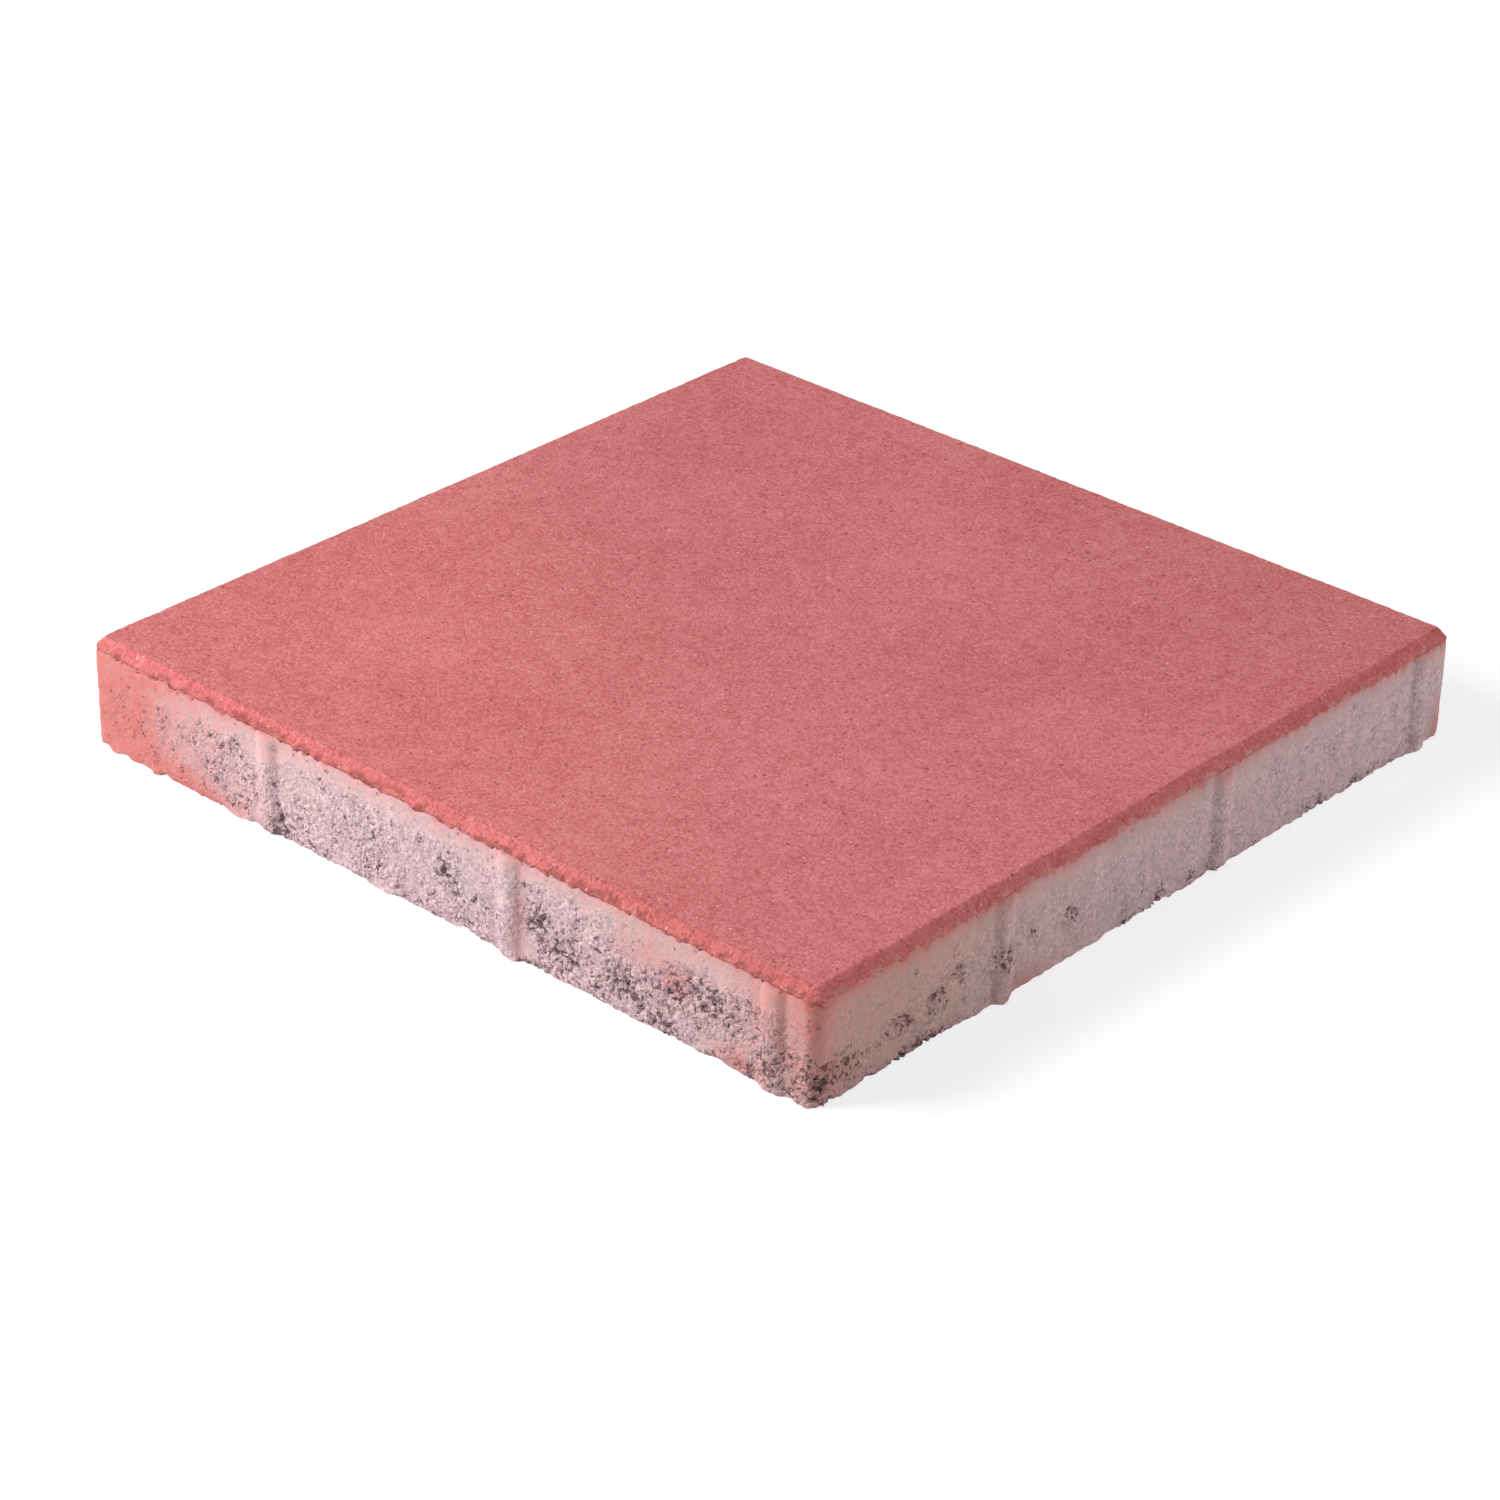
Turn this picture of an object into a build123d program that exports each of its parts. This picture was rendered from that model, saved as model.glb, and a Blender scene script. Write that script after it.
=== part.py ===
"""Square concrete paving slab with a bevelled walking face and spacer ribs on its four sides."""

import os

from build123d import *

# The slab's body, in millimetres
LAYING_MODULE = 400.0  # centre to centre of two slabs laid side by side
JOINT_WIDTH = 3.0  # gap left between two slabs for sand
THICKNESS = 50.0
CORNER_RADIUS = 6.0  # upright corners left by the mould
ARRIS_BEVEL = 4.5  # legs of the bevel round the walking face

# Spacer ribs: three a side, at the same places on each side as it is seen from outside
SIDES = 4
RIBS_A_SIDE = 3
RIB_PITCH = 135.0
RIB_END_DISTANCE = 21.0  # right-hand end of a side to the middle of its nearest rib
RIB_WIDTH = 12.0  # across a rib's round section, where it leaves the side
RIB_PROUD = 2.5
RIB_TOP_DROP = 0.6  # lower edge of the bevel down to the top of a rib
RIB_TOP_BEVEL = 1.2  # slope on the outer edge of a rib's top

side_length = LAYING_MODULE - JOINT_WIDTH
rib_height = THICKNESS - ARRIS_BEVEL - RIB_TOP_DROP
# A rib is the part of a round bar that stands out of the side
rib_radius = (RIB_WIDTH**2 / 4 + RIB_PROUD**2) / (2 * RIB_PROUD)
rib_axis_offset = side_length / 2 + RIB_PROUD - rib_radius
# Along a side, from its middle towards the right as it is seen from outside
first_rib = side_length / 2 - RIB_END_DISTANCE
rib_places = [(0, first_rib - number * RIB_PITCH) for number in range(RIBS_A_SIDE)]

os.makedirs("parts", exist_ok=True)

# One round bar with a sloped rim, which the mould's groove leaves on the side as a rib
with BuildPart() as rib_bar:
    Cylinder(rib_radius, rib_height, align=(Align.CENTER, Align.CENTER, Align.MIN))
    chamfer(rib_bar.faces().sort_by(Axis.Z)[-1].edges(), length=RIB_TOP_BEVEL)

with BuildPart() as paving_slab:
    # Block as it leaves the mould, with rounded upright corners
    with BuildSketch():
        RectangleRounded(side_length, side_length, CORNER_RADIUS)
    extrude(amount=THICKNESS)

    # Bevel round the walking face
    walking_face = paving_slab.faces().sort_by(Axis.Z)[-1]
    chamfer(walking_face.edges(), length=ARRIS_BEVEL)

    # Ribs in a pinwheel, so that the ribs of two slabs laid side by side miss each other
    with PolarLocations(rib_axis_offset, SIDES):
        with Locations(*rib_places):
            add(rib_bar.part)

paving_slab.part.label = "paving_slab"
export_step(paving_slab.part, "parts/paving_slab.step")
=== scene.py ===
"""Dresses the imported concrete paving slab: red facing, paler backing concrete, studio and camera."""

import logging
import math
from dataclasses import dataclass, field
from enum import Enum

import bpy
import numpy as np
from mathutils import Matrix, Vector
from numpy.typing import NDArray

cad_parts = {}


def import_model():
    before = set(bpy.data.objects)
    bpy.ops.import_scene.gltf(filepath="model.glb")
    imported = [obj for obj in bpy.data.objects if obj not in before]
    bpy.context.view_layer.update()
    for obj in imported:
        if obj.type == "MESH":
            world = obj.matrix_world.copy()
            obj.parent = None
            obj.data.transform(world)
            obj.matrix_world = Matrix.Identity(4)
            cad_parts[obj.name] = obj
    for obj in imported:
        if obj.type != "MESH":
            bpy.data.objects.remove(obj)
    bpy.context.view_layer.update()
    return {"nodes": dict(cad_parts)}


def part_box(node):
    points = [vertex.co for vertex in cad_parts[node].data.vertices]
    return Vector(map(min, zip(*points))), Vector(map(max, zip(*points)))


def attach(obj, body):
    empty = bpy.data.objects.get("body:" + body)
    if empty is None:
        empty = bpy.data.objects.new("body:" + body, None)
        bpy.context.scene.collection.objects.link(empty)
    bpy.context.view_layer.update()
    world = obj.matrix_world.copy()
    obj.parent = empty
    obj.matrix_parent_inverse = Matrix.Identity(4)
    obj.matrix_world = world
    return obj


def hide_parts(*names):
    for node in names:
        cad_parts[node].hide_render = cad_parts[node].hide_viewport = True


Floats = NDArray[np.float64]
Ints = NDArray[np.int64]
Span = tuple[float, float]
Colour = tuple[float, float, float, float]
Socket = bpy.types.NodeSocket
Sockets = bpy.types.bpy_prop_collection
Value = float | Socket
Tint = Colour | Socket
Inputs = dict[str | int, object]

LOG = logging.getLogger("paving_slab")
NODE = "paving_slab"
BODY = "root"
FLAT_MAP = "OFBake"
MM = 0.001
QUARTER_TURN = math.pi / 2.0
SHARP_ANGLE = math.radians(80.0)
CORNER_EASE = 0.04  # share of a side over which its look turns into its neighbour's


def linear(red: int, green: int, blue: int) -> Colour:
    """Turns a screen colour into the linear colour that a shader takes.

    Args:
        red: Red on a screen, 0 to 255.
        green: Green on a screen, 0 to 255.
        blue: Blue on a screen, 0 to 255.

    Returns:
        The linear colour, with an alpha of 1.
    """
    channels = [channel / 255 for channel in (red, green, blue)]
    plain = [c / 12.92 if c <= 0.04045 else ((c + 0.055) / 1.055) ** 2.4 for c in channels]
    return (plain[0], plain[1], plain[2], 1.0)


def grey(level: float) -> Colour:
    """Gives the linear grey of a level, where 1 is white."""
    return (level, level, level, 1.0)


def ease(low: float, high: float, value: Floats) -> Floats:
    """Rises smoothly from 0 at low to 1 at high, which may lie below low."""
    share = np.clip((value - low) / (high - low), 0.0, 1.0)
    return share * share * (3.0 - 2.0 * share)


def unit(value: Floats) -> Floats:
    """Keeps numbers between 0 and 1."""
    return np.clip(value, 0.0, 1.0)


def bell(distance: Floats) -> Floats:
    """Gives 1 at no distance, and less and less on either side."""
    return np.exp(-(distance**2))


def placed(name: str, data: bpy.types.ID) -> bpy.types.Object:
    """Makes an object and puts it in the scene.

    Args:
        name: The object's name.
        data: Its mesh, camera or light.

    Returns:
        The object, at the frame's origin.
    """
    made = bpy.data.objects.new(name, data)
    bpy.context.scene.collection.objects.link(made)
    return made


class Side(Enum):
    """The slab's sides. The value counts quarter turns from +X."""

    RIGHT = 0
    BACK = 1
    LEFT = 2
    FRONT = 3

    @property
    def turn(self) -> float:
        """The side's angle from +X, in radians."""
        return self.value * QUARTER_TURN


class Paint(Enum):
    """Values painted on the meshes' vertices, which the materials read."""

    # Painted shade in the backing's pits, pinholes, gaps and along the facing line, stored as pit
    PIT = "pit"
    ROUGH = "rough"
    PASTE = "paste"
    STAIN = "stain"
    OPEN = "open"
    BEVEL = "bevel"
    # Painted shade in a ragged strip along the facing's lower edge, stored as strip
    STRIP = "strip"
    SMEAR = "smear"
    WARM = "warm"


@dataclass(frozen=True)
class Wave:
    """A layer of smooth unevenness over points in millimetres."""

    strength: float
    breadth: float
    octaves: int = 1
    shift: float = 0.0  # takes another part of the noise
    rise: float = 1.0  # how fast it changes upwards, beside its change along a side


@dataclass(frozen=True)
class Noise:
    """Seeded noise over points in millimetres."""

    seed: int
    factors = (0x9E3779B97F4A7C15, 0xC2B2AE3D27D4EB4F, 0x165667B19E3779F9)
    mixer = 0xD6E8FEB86659FD93
    shifts = (32, 29, 32)
    seed_step = 7919
    salt_step = 104729
    seat_salts = (11, 12, 13)
    own_salt = 14
    gain = 1.6  # brings the smooth noise's usual reach to about 1
    far = 9.0  # further off than any grain, in sizes

    def _random(self, cells: Ints, salt: int) -> Floats:
        """Gives each whole-numbered cell its own number from 0 to 1.

        Args:
            cells: Whole numbers, three to a cell.
            salt: Tells apart numbers for the same cell.

        Returns:
            One number for each cell.
        """
        key = (self.seed * self.seed_step + salt * self.salt_step) * self.mixer
        mixed = np.full(cells.shape[:-1], key & 0xFFFFFFFFFFFFFFFF, np.uint64)
        for axis, factor in enumerate(self.factors):
            mixed ^= cells[..., axis].astype(np.uint64) * np.uint64(factor)
        for shift in self.shifts:
            mixed ^= mixed >> np.uint64(shift)
            mixed *= np.uint64(self.mixer)
        return (mixed >> np.uint64(40)).astype(np.float64) / float(1 << 24)

    def waves(self, points: Floats, *waves: Wave) -> Floats:
        """Adds up layers of smooth unevenness.

        Args:
            points: Places, with x, y and z last.
            *waves: The layers.

        Returns:
            One number for each place, within about the layers' strengths of 0.
        """
        total = np.zeros(points.shape[:-1])
        for wave in waves:
            moved = points * (1.0, 1.0, wave.rise) + wave.shift
            total += wave.strength * self._smooth(moved, wave.breadth, wave.octaves)
        return total

    def _smooth(self, points: Floats, size: float, octaves: int) -> Floats:
        """Gives smooth noise from about -1 to 1.

        Args:
            points: Places, with x, y and z last.
            size: Breadth of the largest features.
            octaves: Layers, each half the size and strength of the one before.

        Returns:
            One number for each place.
        """
        total = np.zeros(points.shape[:-1])
        weight_sum = 0.0
        for octave in range(octaves):
            place = points * (2.0**octave / size)
            cell = np.floor(place)
            part = ease(0.0, 1.0, place - cell)
            cell = cell.astype(np.int64)
            value = np.zeros_like(total)
            for corner in np.ndindex(2, 2, 2):
                weight = np.prod(np.where(np.array(corner) == 1, part, 1.0 - part), axis=-1)
                value += weight * self._random(cell + np.array(corner), octave)
            strength = 0.5**octave
            total += strength * (2.0 * value - 1.0)
            weight_sum += strength
        return self.gain * total / weight_sum

    def grains(self, points: Floats, size: float) -> tuple[Floats, Floats, Floats]:
        """Scatters grains through space and finds the nearest ones.

        Args:
            points: Places, with x, y and z last.
            size: Mean distance between grains.

        Returns:
            Distances to the nearest and next grain, in sizes, and the nearest one's own number from 0 to 1.
        """
        place = points / size
        cell = np.floor(place).astype(np.int64)
        nearest = np.full(points.shape[:-1], self.far)
        second = nearest.copy()
        own = np.zeros_like(nearest)
        for offset in np.ndindex(3, 3, 3):
            other = cell + np.array(offset) - 1
            seat = np.stack([self._random(other, salt) for salt in self.seat_salts], axis=-1)
            distance = np.linalg.norm(other + seat - place, axis=-1)
            closer = distance < nearest
            second = np.where(closer, nearest, np.minimum(second, distance))
            own = np.where(closer, self._random(other, self.own_salt), own)
            nearest = np.where(closer, distance, nearest)
        return nearest, second, own


@dataclass(frozen=True)
class Breaks:
    """Unevenness that lets something show only in places."""

    wave: Wave
    span: Span  # where it begins to show, and where it shows in full

    def share(self, noise: Noise, points: Floats) -> Floats:
        """Gives how far it shows at some points, from 0 to 1."""
        return ease(*self.span, noise.waves(points, self.wave))


@dataclass(frozen=True)
class Holes:
    """Round holes scattered through space, with their radii in pitches."""

    pitch: float
    shift: float
    least: float
    growth: float
    bare: float  # share of the places that hold none

    def depth(self, noise: Noise, points: Floats, factor: Floats | float = 1.0) -> Floats:
        """Gives how deep in a hole each point lies, from 0 to 1.

        Args:
            noise: The noise that places the holes.
            points: Places, with x, y and z last.
            factor: The share of their growth that the holes reach.

        Returns:
            One number for each place.
        """
        near, _, own = noise.grains(points + self.shift, self.pitch)
        reach = self.least + self.growth * factor * own
        return unit(1.0 - (near / reach) ** 2) * (own > self.bare)


@dataclass(frozen=True)
class SlabSizes:
    """The slab's real sizes, in millimetres, as the solid has them."""

    side: float
    thickness: float
    corner_radius: float = 6.0
    bevel: float = 4.5
    ribs_a_side: int = 3
    rib_pitch: float = 135.0
    rib_end_distance: float = 21.0
    rib_width: float = 12.0
    rib_proud: float = 2.5
    rib_top_drop: float = 0.6
    rib_top_bevel: float = 1.2

    @classmethod
    def from_frame(cls) -> "SlabSizes":
        """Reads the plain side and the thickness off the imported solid, whose box runs over the ribs.

        Returns:
            The sizes.
        """
        low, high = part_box(NODE)
        across = round((high.x - low.x) / MM, 1) - 2.0 * cls.rib_proud
        return cls(side=across, thickness=round((high.z - low.z) / MM, 1))

    @property
    def half(self) -> float:
        """Half of the plain side."""
        return self.side / 2.0

    @property
    def bevel_foot(self) -> float:
        """Height of the bevel's lower edge."""
        return self.thickness - self.bevel

    @property
    def rib_top(self) -> float:
        """Height of the ribs' tops."""
        return self.thickness - self.bevel - self.rib_top_drop

    @property
    def rib_radius(self) -> float:
        """Radius of the round bar that a rib is part of."""
        return (self.rib_width**2 / 4.0 + self.rib_proud**2) / (2.0 * self.rib_proud)

    def rib_middles(self) -> list[float]:
        """Lists the ribs' middles along a side, from its middle to the right as seen from outside."""
        last = self.half - self.rib_end_distance
        return sorted(last - number * self.rib_pitch for number in range(self.ribs_a_side))

    def on_side(self, side: Side, along: float, height: float) -> Floats:
        """Finds a place on a side, along it from its middle to the right as seen from outside."""
        cos, sin = math.cos(side.turn), math.sin(side.turn)
        return np.array([self.half * cos - along * sin, self.half * sin + along * cos, height])


@dataclass
class Outline:
    """Upright columns round the slab, counter-clockwise from above, each side between two diagonals."""

    sizes: SlabSizes
    step: float
    rib_foot: float = 0.5  # radius of the hollow where a rib leaves the side
    foot_sink: float = 0.06  # share of that radius by which the hollow would lift a rib
    foot_reach: float = 1.6  # where the hollow has run out, in half widths of a rib
    foot: Floats = field(init=False)
    outward: Floats = field(init=False)
    side: Ints = field(init=False)
    from_rib: Floats = field(init=False)

    def __post_init__(self) -> None:
        """Places the columns of one side and turns them on to the other three."""
        out, along, lean, from_rib = self._one_side()
        feet, outwards = [], []
        for side in Side:
            cos, sin = math.cos(side.turn), math.sin(side.turn)
            feet.append(np.stack([out * cos - along * sin, out * sin + along * cos], axis=-1))
            outwards.append(np.stack([np.cos(lean + side.turn), np.sin(lean + side.turn)], axis=-1))
        self.foot = np.concatenate(feet)
        self.outward = np.concatenate(outwards)
        self.side = np.repeat(np.arange(len(Side)), len(out))
        self.from_rib = np.tile(from_rib, len(Side))

    def _one_side(self) -> tuple[Floats, Floats, Floats, Floats]:
        """Places the columns of the side that faces +X.

        Returns:
            Each column's distance out and along, the angle it faces, and its distance from a rib's middle.
        """
        sizes = self.sizes
        straight = sizes.half - sizes.corner_radius
        half_rib = sizes.rib_width / 2.0
        marks = [-straight]
        for middle in sizes.rib_middles():
            marks += [middle - half_rib, middle + half_rib]
        marks.append(straight)
        runs = []
        for start, end in zip(marks, marks[1:]):
            count = max(1, round((end - start) / self.step))
            runs.append(np.linspace(start, end, count, endpoint=False))
        run = np.concatenate(runs)
        eighth = QUARTER_TURN / 2.0
        count = max(2, round(sizes.corner_radius * eighth / self.step))
        arc = np.linspace(0.0, eighth, count, endpoint=False)
        lean = np.concatenate([arc - eighth, np.zeros_like(run), arc])
        middle = np.concatenate([np.full_like(arc, -straight), run, np.full_like(arc, straight)])
        out = straight + sizes.corner_radius * np.cos(lean)
        along = middle + sizes.corner_radius * np.sin(lean)
        from_rib = np.min(np.abs(along[:, None] - np.array(sizes.rib_middles())), axis=1)
        return out, along, lean, np.where(lean == 0.0, from_rib, sizes.side)

    def ribs(self, height: Floats) -> Floats:
        """Gives how far the ribs stand out.

        Args:
            height: Heights, one row of columns for each level.

        Returns:
            Distances out of the plain side, in the same rows.
        """
        sizes = self.sizes
        taper = np.clip(height - sizes.rib_top + sizes.rib_top_bevel, 0.0, sizes.rib_top_bevel)
        bar = np.maximum((sizes.rib_radius - taper) ** 2 - self.from_rib**2, 0.0)
        bulge = np.sqrt(bar) - (sizes.rib_radius - sizes.rib_proud)
        soft = 0.5 * (bulge + np.hypot(bulge, self.rib_foot)) - self.foot_sink * self.rib_foot
        beside = self.from_rib / (sizes.rib_width / 2.0)
        proud = np.maximum(soft, 0.0) * ease(self.foot_reach, 1.0, beside)
        return np.where(height <= sizes.rib_top, proud, 0.0)

    def rows(self, inset: Floats, height: Floats) -> Floats:
        """Places rows of points round the slab, by their distances in from the plain side and heights."""
        plan = self.foot[None] - self.outward[None] * inset[..., None]
        return np.concatenate([plan, height[..., None]], axis=-1)

    def feet(self) -> Floats:
        """Gives the columns' places on the level of the underside."""
        return np.concatenate([self.foot, np.zeros((len(self.foot), 1))], axis=1)

    def on_rib(self) -> NDArray[np.bool_]:
        """Says of each column whether it lies on a rib."""
        return self.from_rib < self.sizes.rib_width / 2.0

    def turns(self) -> Floats:
        """Gives each column's place round the square, from 0 to 4, a whole number at each diagonal."""
        return square_turns(self.foot)


def square_turns(plan: Floats) -> Floats:
    """Gives each point's place round a square, by its direction from the middle.

    Args:
        plan: Points seen from above, counter-clockwise from the corner between -Y and +X.

    Returns:
        Numbers from 0 to 4, a whole number at each diagonal.
    """
    x, y = plan[:, 0], plan[:, 1]
    reach = np.maximum(np.abs(x), np.abs(y))
    return np.select(
        [(x >= reach) & (y < reach), (y >= reach) & (x > -reach), (x <= -reach) & (y > -reach)],
        [(y / reach + 1.0) / 2.0, (1.0 - x / reach) / 2.0 + 1.0, (1.0 - y / reach) / 2.0 + 2.0],
        (x / reach + 1.0) / 2.0 + 3.0,
    )


def level_grid(half: float, cells: int, height: float) -> Floats:
    """Makes a level square grid of points.

    Args:
        half: Half of the grid's side.
        cells: Cells along a side.
        height: The grid's height.

    Returns:
        The points, with x along rows and y from row to row.
    """
    marks = np.linspace(-half, half, cells + 1)
    x, y = np.meshgrid(marks, marks)
    return np.stack([x, y, np.full_like(x, height)], axis=-1)


def grid_rim(grid: NDArray) -> NDArray:
    """Lists a grid's rim, counter-clockwise from the corner between -Y and +X."""
    return np.concatenate([grid[:-1, -1], grid[-1, :0:-1], grid[:0:-1, 0], grid[0, :-1]])


def cell_corners(grid: NDArray) -> NDArray:
    """Lists the four corners of each cell of a grid, counter-clockwise."""
    return np.stack([grid[:-1, :-1], grid[:-1, 1:], grid[1:, 1:], grid[1:, :-1]], axis=2)


class Shell:
    """A closed mesh in the making, in millimetres, with painted vertices and a flat map."""

    def __init__(self, name: str) -> None:
        """Starts an empty mesh.

        Args:
            name: The piece's name.
        """
        self.name = name
        self._points: list[Floats] = []
        self._paint: list[dict[Paint, Floats]] = []
        self._corners: list[Ints] = []
        self._sizes: list[Ints] = []
        self._flat: list[Floats] = []
        self._count = 0

    def add(self, points: Floats, paint: dict[Paint, Floats] | None = None) -> Ints:
        """Adds points.

        Args:
            points: The points, in rows of any shape, with x, y and z last.
            paint: Values for the same rows.

        Returns:
            The points' numbers, in the same rows.
        """
        shape = points.shape[:-1]
        total = int(np.prod(shape))
        numbers = np.arange(self._count, self._count + total).reshape(shape)
        self._points.append(points.reshape(-1, 3))
        self._paint.append({key: value.reshape(-1) for key, value in (paint or {}).items()})
        self._count += total
        return numbers

    def quads(self, numbers: Ints, flat: Floats) -> None:
        """Fills a grid of points with four-cornered faces, counter-clockwise along rows and then columns.

        Args:
            numbers: Point numbers, in rows.
            flat: Their places on the flat map, in the same rows.
        """
        corners = cell_corners(numbers)
        self._corners.append(corners.reshape(-1))
        self._sizes.append(np.full(corners.size // 4, 4))
        self._flat.append(cell_corners(flat).reshape(-1, 2))

    def stitch(
        self, outer: tuple[Ints, Floats, Floats], inner: tuple[Ints, Floats, Floats], upwards: bool
    ) -> None:
        """Joins two loops, one inside the other, with triangles.

        Args:
            outer: The outer loop's point numbers, places round the square and places on the flat map.
            inner: The same for the inner loop.
            upwards: Whether the faces look up.
        """
        counts = len(outer[0]), len(inner[0])
        ahead = [np.append(loop[1][1:], loop[1][0] + len(Side)) for loop in (outer, inner)]
        at = [0, 0]
        corners, flat = [], []
        while at[0] < counts[0] or at[1] < counts[1]:
            here = at[0] % counts[0], at[1] % counts[1]
            done = at[0] == counts[0], at[1] == counts[1]
            step_out = done[1] or (not done[0] and ahead[0][at[0]] <= ahead[1][at[1]])
            if step_out:
                follow = (outer, (at[0] + 1) % counts[0])
            else:
                follow = (inner, (at[1] + 1) % counts[1])
            trio = [(outer, here[0]), follow, (inner, here[1])]
            for loop, index in trio if upwards else trio[::-1]:
                corners.append(loop[0][index])
                flat.append(loop[2][index])
            at[0 if step_out else 1] += 1
        self._corners.append(np.array(corners))
        self._sizes.append(np.full(len(corners) // 3, 3))
        self._flat.append(np.array(flat))

    def cover(
        self, grid: Floats, flat: Floats, rim: tuple[Ints, Floats, Floats], upwards: bool,
        paint: dict[Paint, Floats] | None = None,
    ) -> None:
        """Closes a loop with a grid of faces that lies inside it.

        Args:
            grid: The grid's points, in rows.
            flat: Their places on the flat map.
            rim: The loop's point numbers, places round the square and places on the flat map.
            upwards: Whether the faces look up.
            paint: Values for the grid's points.
        """
        numbers = self.add(grid, paint)
        order = slice(None, None, 1 if upwards else -1)
        self.quads(numbers[:, order], flat[:, order])
        inner = (grid_rim(numbers), square_turns(grid_rim(grid[..., :2])), grid_rim(flat))
        self.stitch(rim, inner, upwards)

    def build(self, material: bpy.types.Material) -> bpy.types.Object:
        """Makes the mesh and its object.

        Args:
            material: The finish of the whole piece.

        Returns:
            The object, in metres, at the frame's origin.
        """
        points = np.concatenate(self._points)
        corners = np.concatenate(self._corners)
        sizes = np.concatenate(self._sizes)
        mesh = bpy.data.meshes.new(self.name)
        mesh.vertices.add(len(points))
        mesh.vertices.foreach_set("co", (points * MM).ravel())
        mesh.loops.add(len(corners))
        mesh.loops.foreach_set("vertex_index", corners.astype(np.int32))
        mesh.polygons.add(len(sizes))
        mesh.polygons.foreach_set("loop_start", (np.cumsum(sizes) - sizes).astype(np.int32))
        mesh.update(calc_edges=True)
        layer = mesh.uv_layers.new(name=FLAT_MAP)
        layer.data.foreach_set("uv", np.concatenate(self._flat).ravel())
        for key in sorted({key for part in self._paint for key in part}, key=lambda one: one.value):
            values = [part.get(key, np.zeros(len(place))) for part, place in zip(self._paint, self._points)]
            attribute = mesh.attributes.new(key.value, "FLOAT", "POINT")
            attribute.data.foreach_set("value", np.concatenate(values))
        if mesh.validate():
            LOG.warning("%s had faces that needed mending", self.name)
        mesh.shade_smooth()
        mesh.set_sharp_from_angle(angle=SHARP_ANGLE)
        mesh.materials.append(material)
        triangles, state = int(np.sum(sizes - 2)), self._closed(corners, sizes)
        LOG.info("%s: %d points, %d triangles, %s", self.name, len(points), triangles, state)
        return placed(self.name, mesh)

    @staticmethod
    def _closed(corners: Ints, sizes: Ints) -> str:
        """Says whether each edge has one face on either side.

        Args:
            corners: The faces' point numbers, face after face.
            sizes: The number of corners of each face.

        Returns:
            A few words for the log.
        """
        starts = np.cumsum(sizes) - sizes
        after = np.arange(1, len(corners) + 1)
        after[starts + sizes - 1] = starts
        ends = corners[after]
        count = len(corners)
        forward, backward = corners * count + ends, ends * count + corners
        paired = np.isin(forward, backward).all() and len(np.unique(forward)) == count
        return "closed" if paired else "not closed"


def rounded_path(points: list[tuple[float, float]], radii: list[float], steps: int) -> Floats:
    """Rounds the corners of a bent line.

    Args:
        points: The line's points.
        radii: A radius for each point but the first and last.
        steps: Straight pieces in each rounded corner.

    Returns:
        The rounded line's points.
    """
    path = [np.array(points[0])]
    for before, corner, after, radius in zip(points, points[1:], points[2:], radii):
        corner = np.array(corner)
        back = np.array(before) - corner
        back /= np.linalg.norm(back)
        on = np.array(after) - corner
        on /= np.linalg.norm(on)
        half_angle = math.acos(float(back @ on)) / 2.0
        reach = radius / math.tan(half_angle)
        middle = corner + (back + on) / np.linalg.norm(back + on) * (radius / math.sin(half_angle))
        start, end = corner + back * reach - middle, corner + on * reach - middle
        sweep = math.pi - 2.0 * half_angle
        for step in range(steps + 1):
            share = step / steps
            near = math.sin((1.0 - share) * sweep) / math.sin(sweep)
            far = math.sin(share * sweep) / math.sin(sweep)
            path.append(middle + near * start + far * end)
    path.append(np.array(points[-1]))
    return np.array(path)


def refined_path(path: Floats, longest: float) -> Floats:
    """Adds points to a bent line.

    Args:
        path: The line's points.
        longest: The longest that a straight piece may stay.

    Returns:
        The same line, with each longer piece cut into equal ones.
    """
    points = [path[:1]]
    for start, end in zip(path, path[1:]):
        count = max(1, math.ceil(float(np.linalg.norm(end - start)) / longest))
        shares = np.linspace(0.0, 1.0, count + 1)[1:, None]
        points.append(start + (end - start) * shares)
    return np.concatenate(points)


@dataclass(frozen=True)
class Patch:
    """A soft-edged patch of a side, placed along it to the right of its middle and up from the underside."""

    side: Side
    along: float
    height: float
    wide: float
    tall: float
    strength: float

    def weight(self, sizes: SlabSizes, points: Floats) -> Floats:
        """Gives the patch's strength at some points.

        Args:
            sizes: The slab's sizes.
            points: Places, with x, y and z last.

        Returns:
            One number for each place, falling off from the patch's middle.
        """
        apart = points - sizes.on_side(self.side, self.along, self.height)
        plan = np.sum(apart[..., :2] ** 2, axis=-1) / self.wide**2
        return self.strength * np.exp(-plan - (apart[..., 2] / self.tall) ** 2)


PatchRows = tuple[tuple[float, float, float, float, float], ...]


def patches(table: dict[Side, PatchRows]) -> tuple[Patch, ...]:
    """Makes patches from each side's rows of the place along it, height, width, tallness and strength."""
    return tuple(Patch(side, *row) for side, rows in table.items() for row in rows)


@dataclass(frozen=True)
class SideLook:
    """How one side came out of the mould. Depths and drops are in millimetres, the rest are shares."""

    rough: float
    paste_depth: float
    paste_cover: float
    lost_grains: float
    pinholes: float
    facing_drop: float
    # line_pits sets real pits along the facing line, and also how much shade is painted into them and into
    # the facing's foot
    line_pits: float
    smear: float


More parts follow.
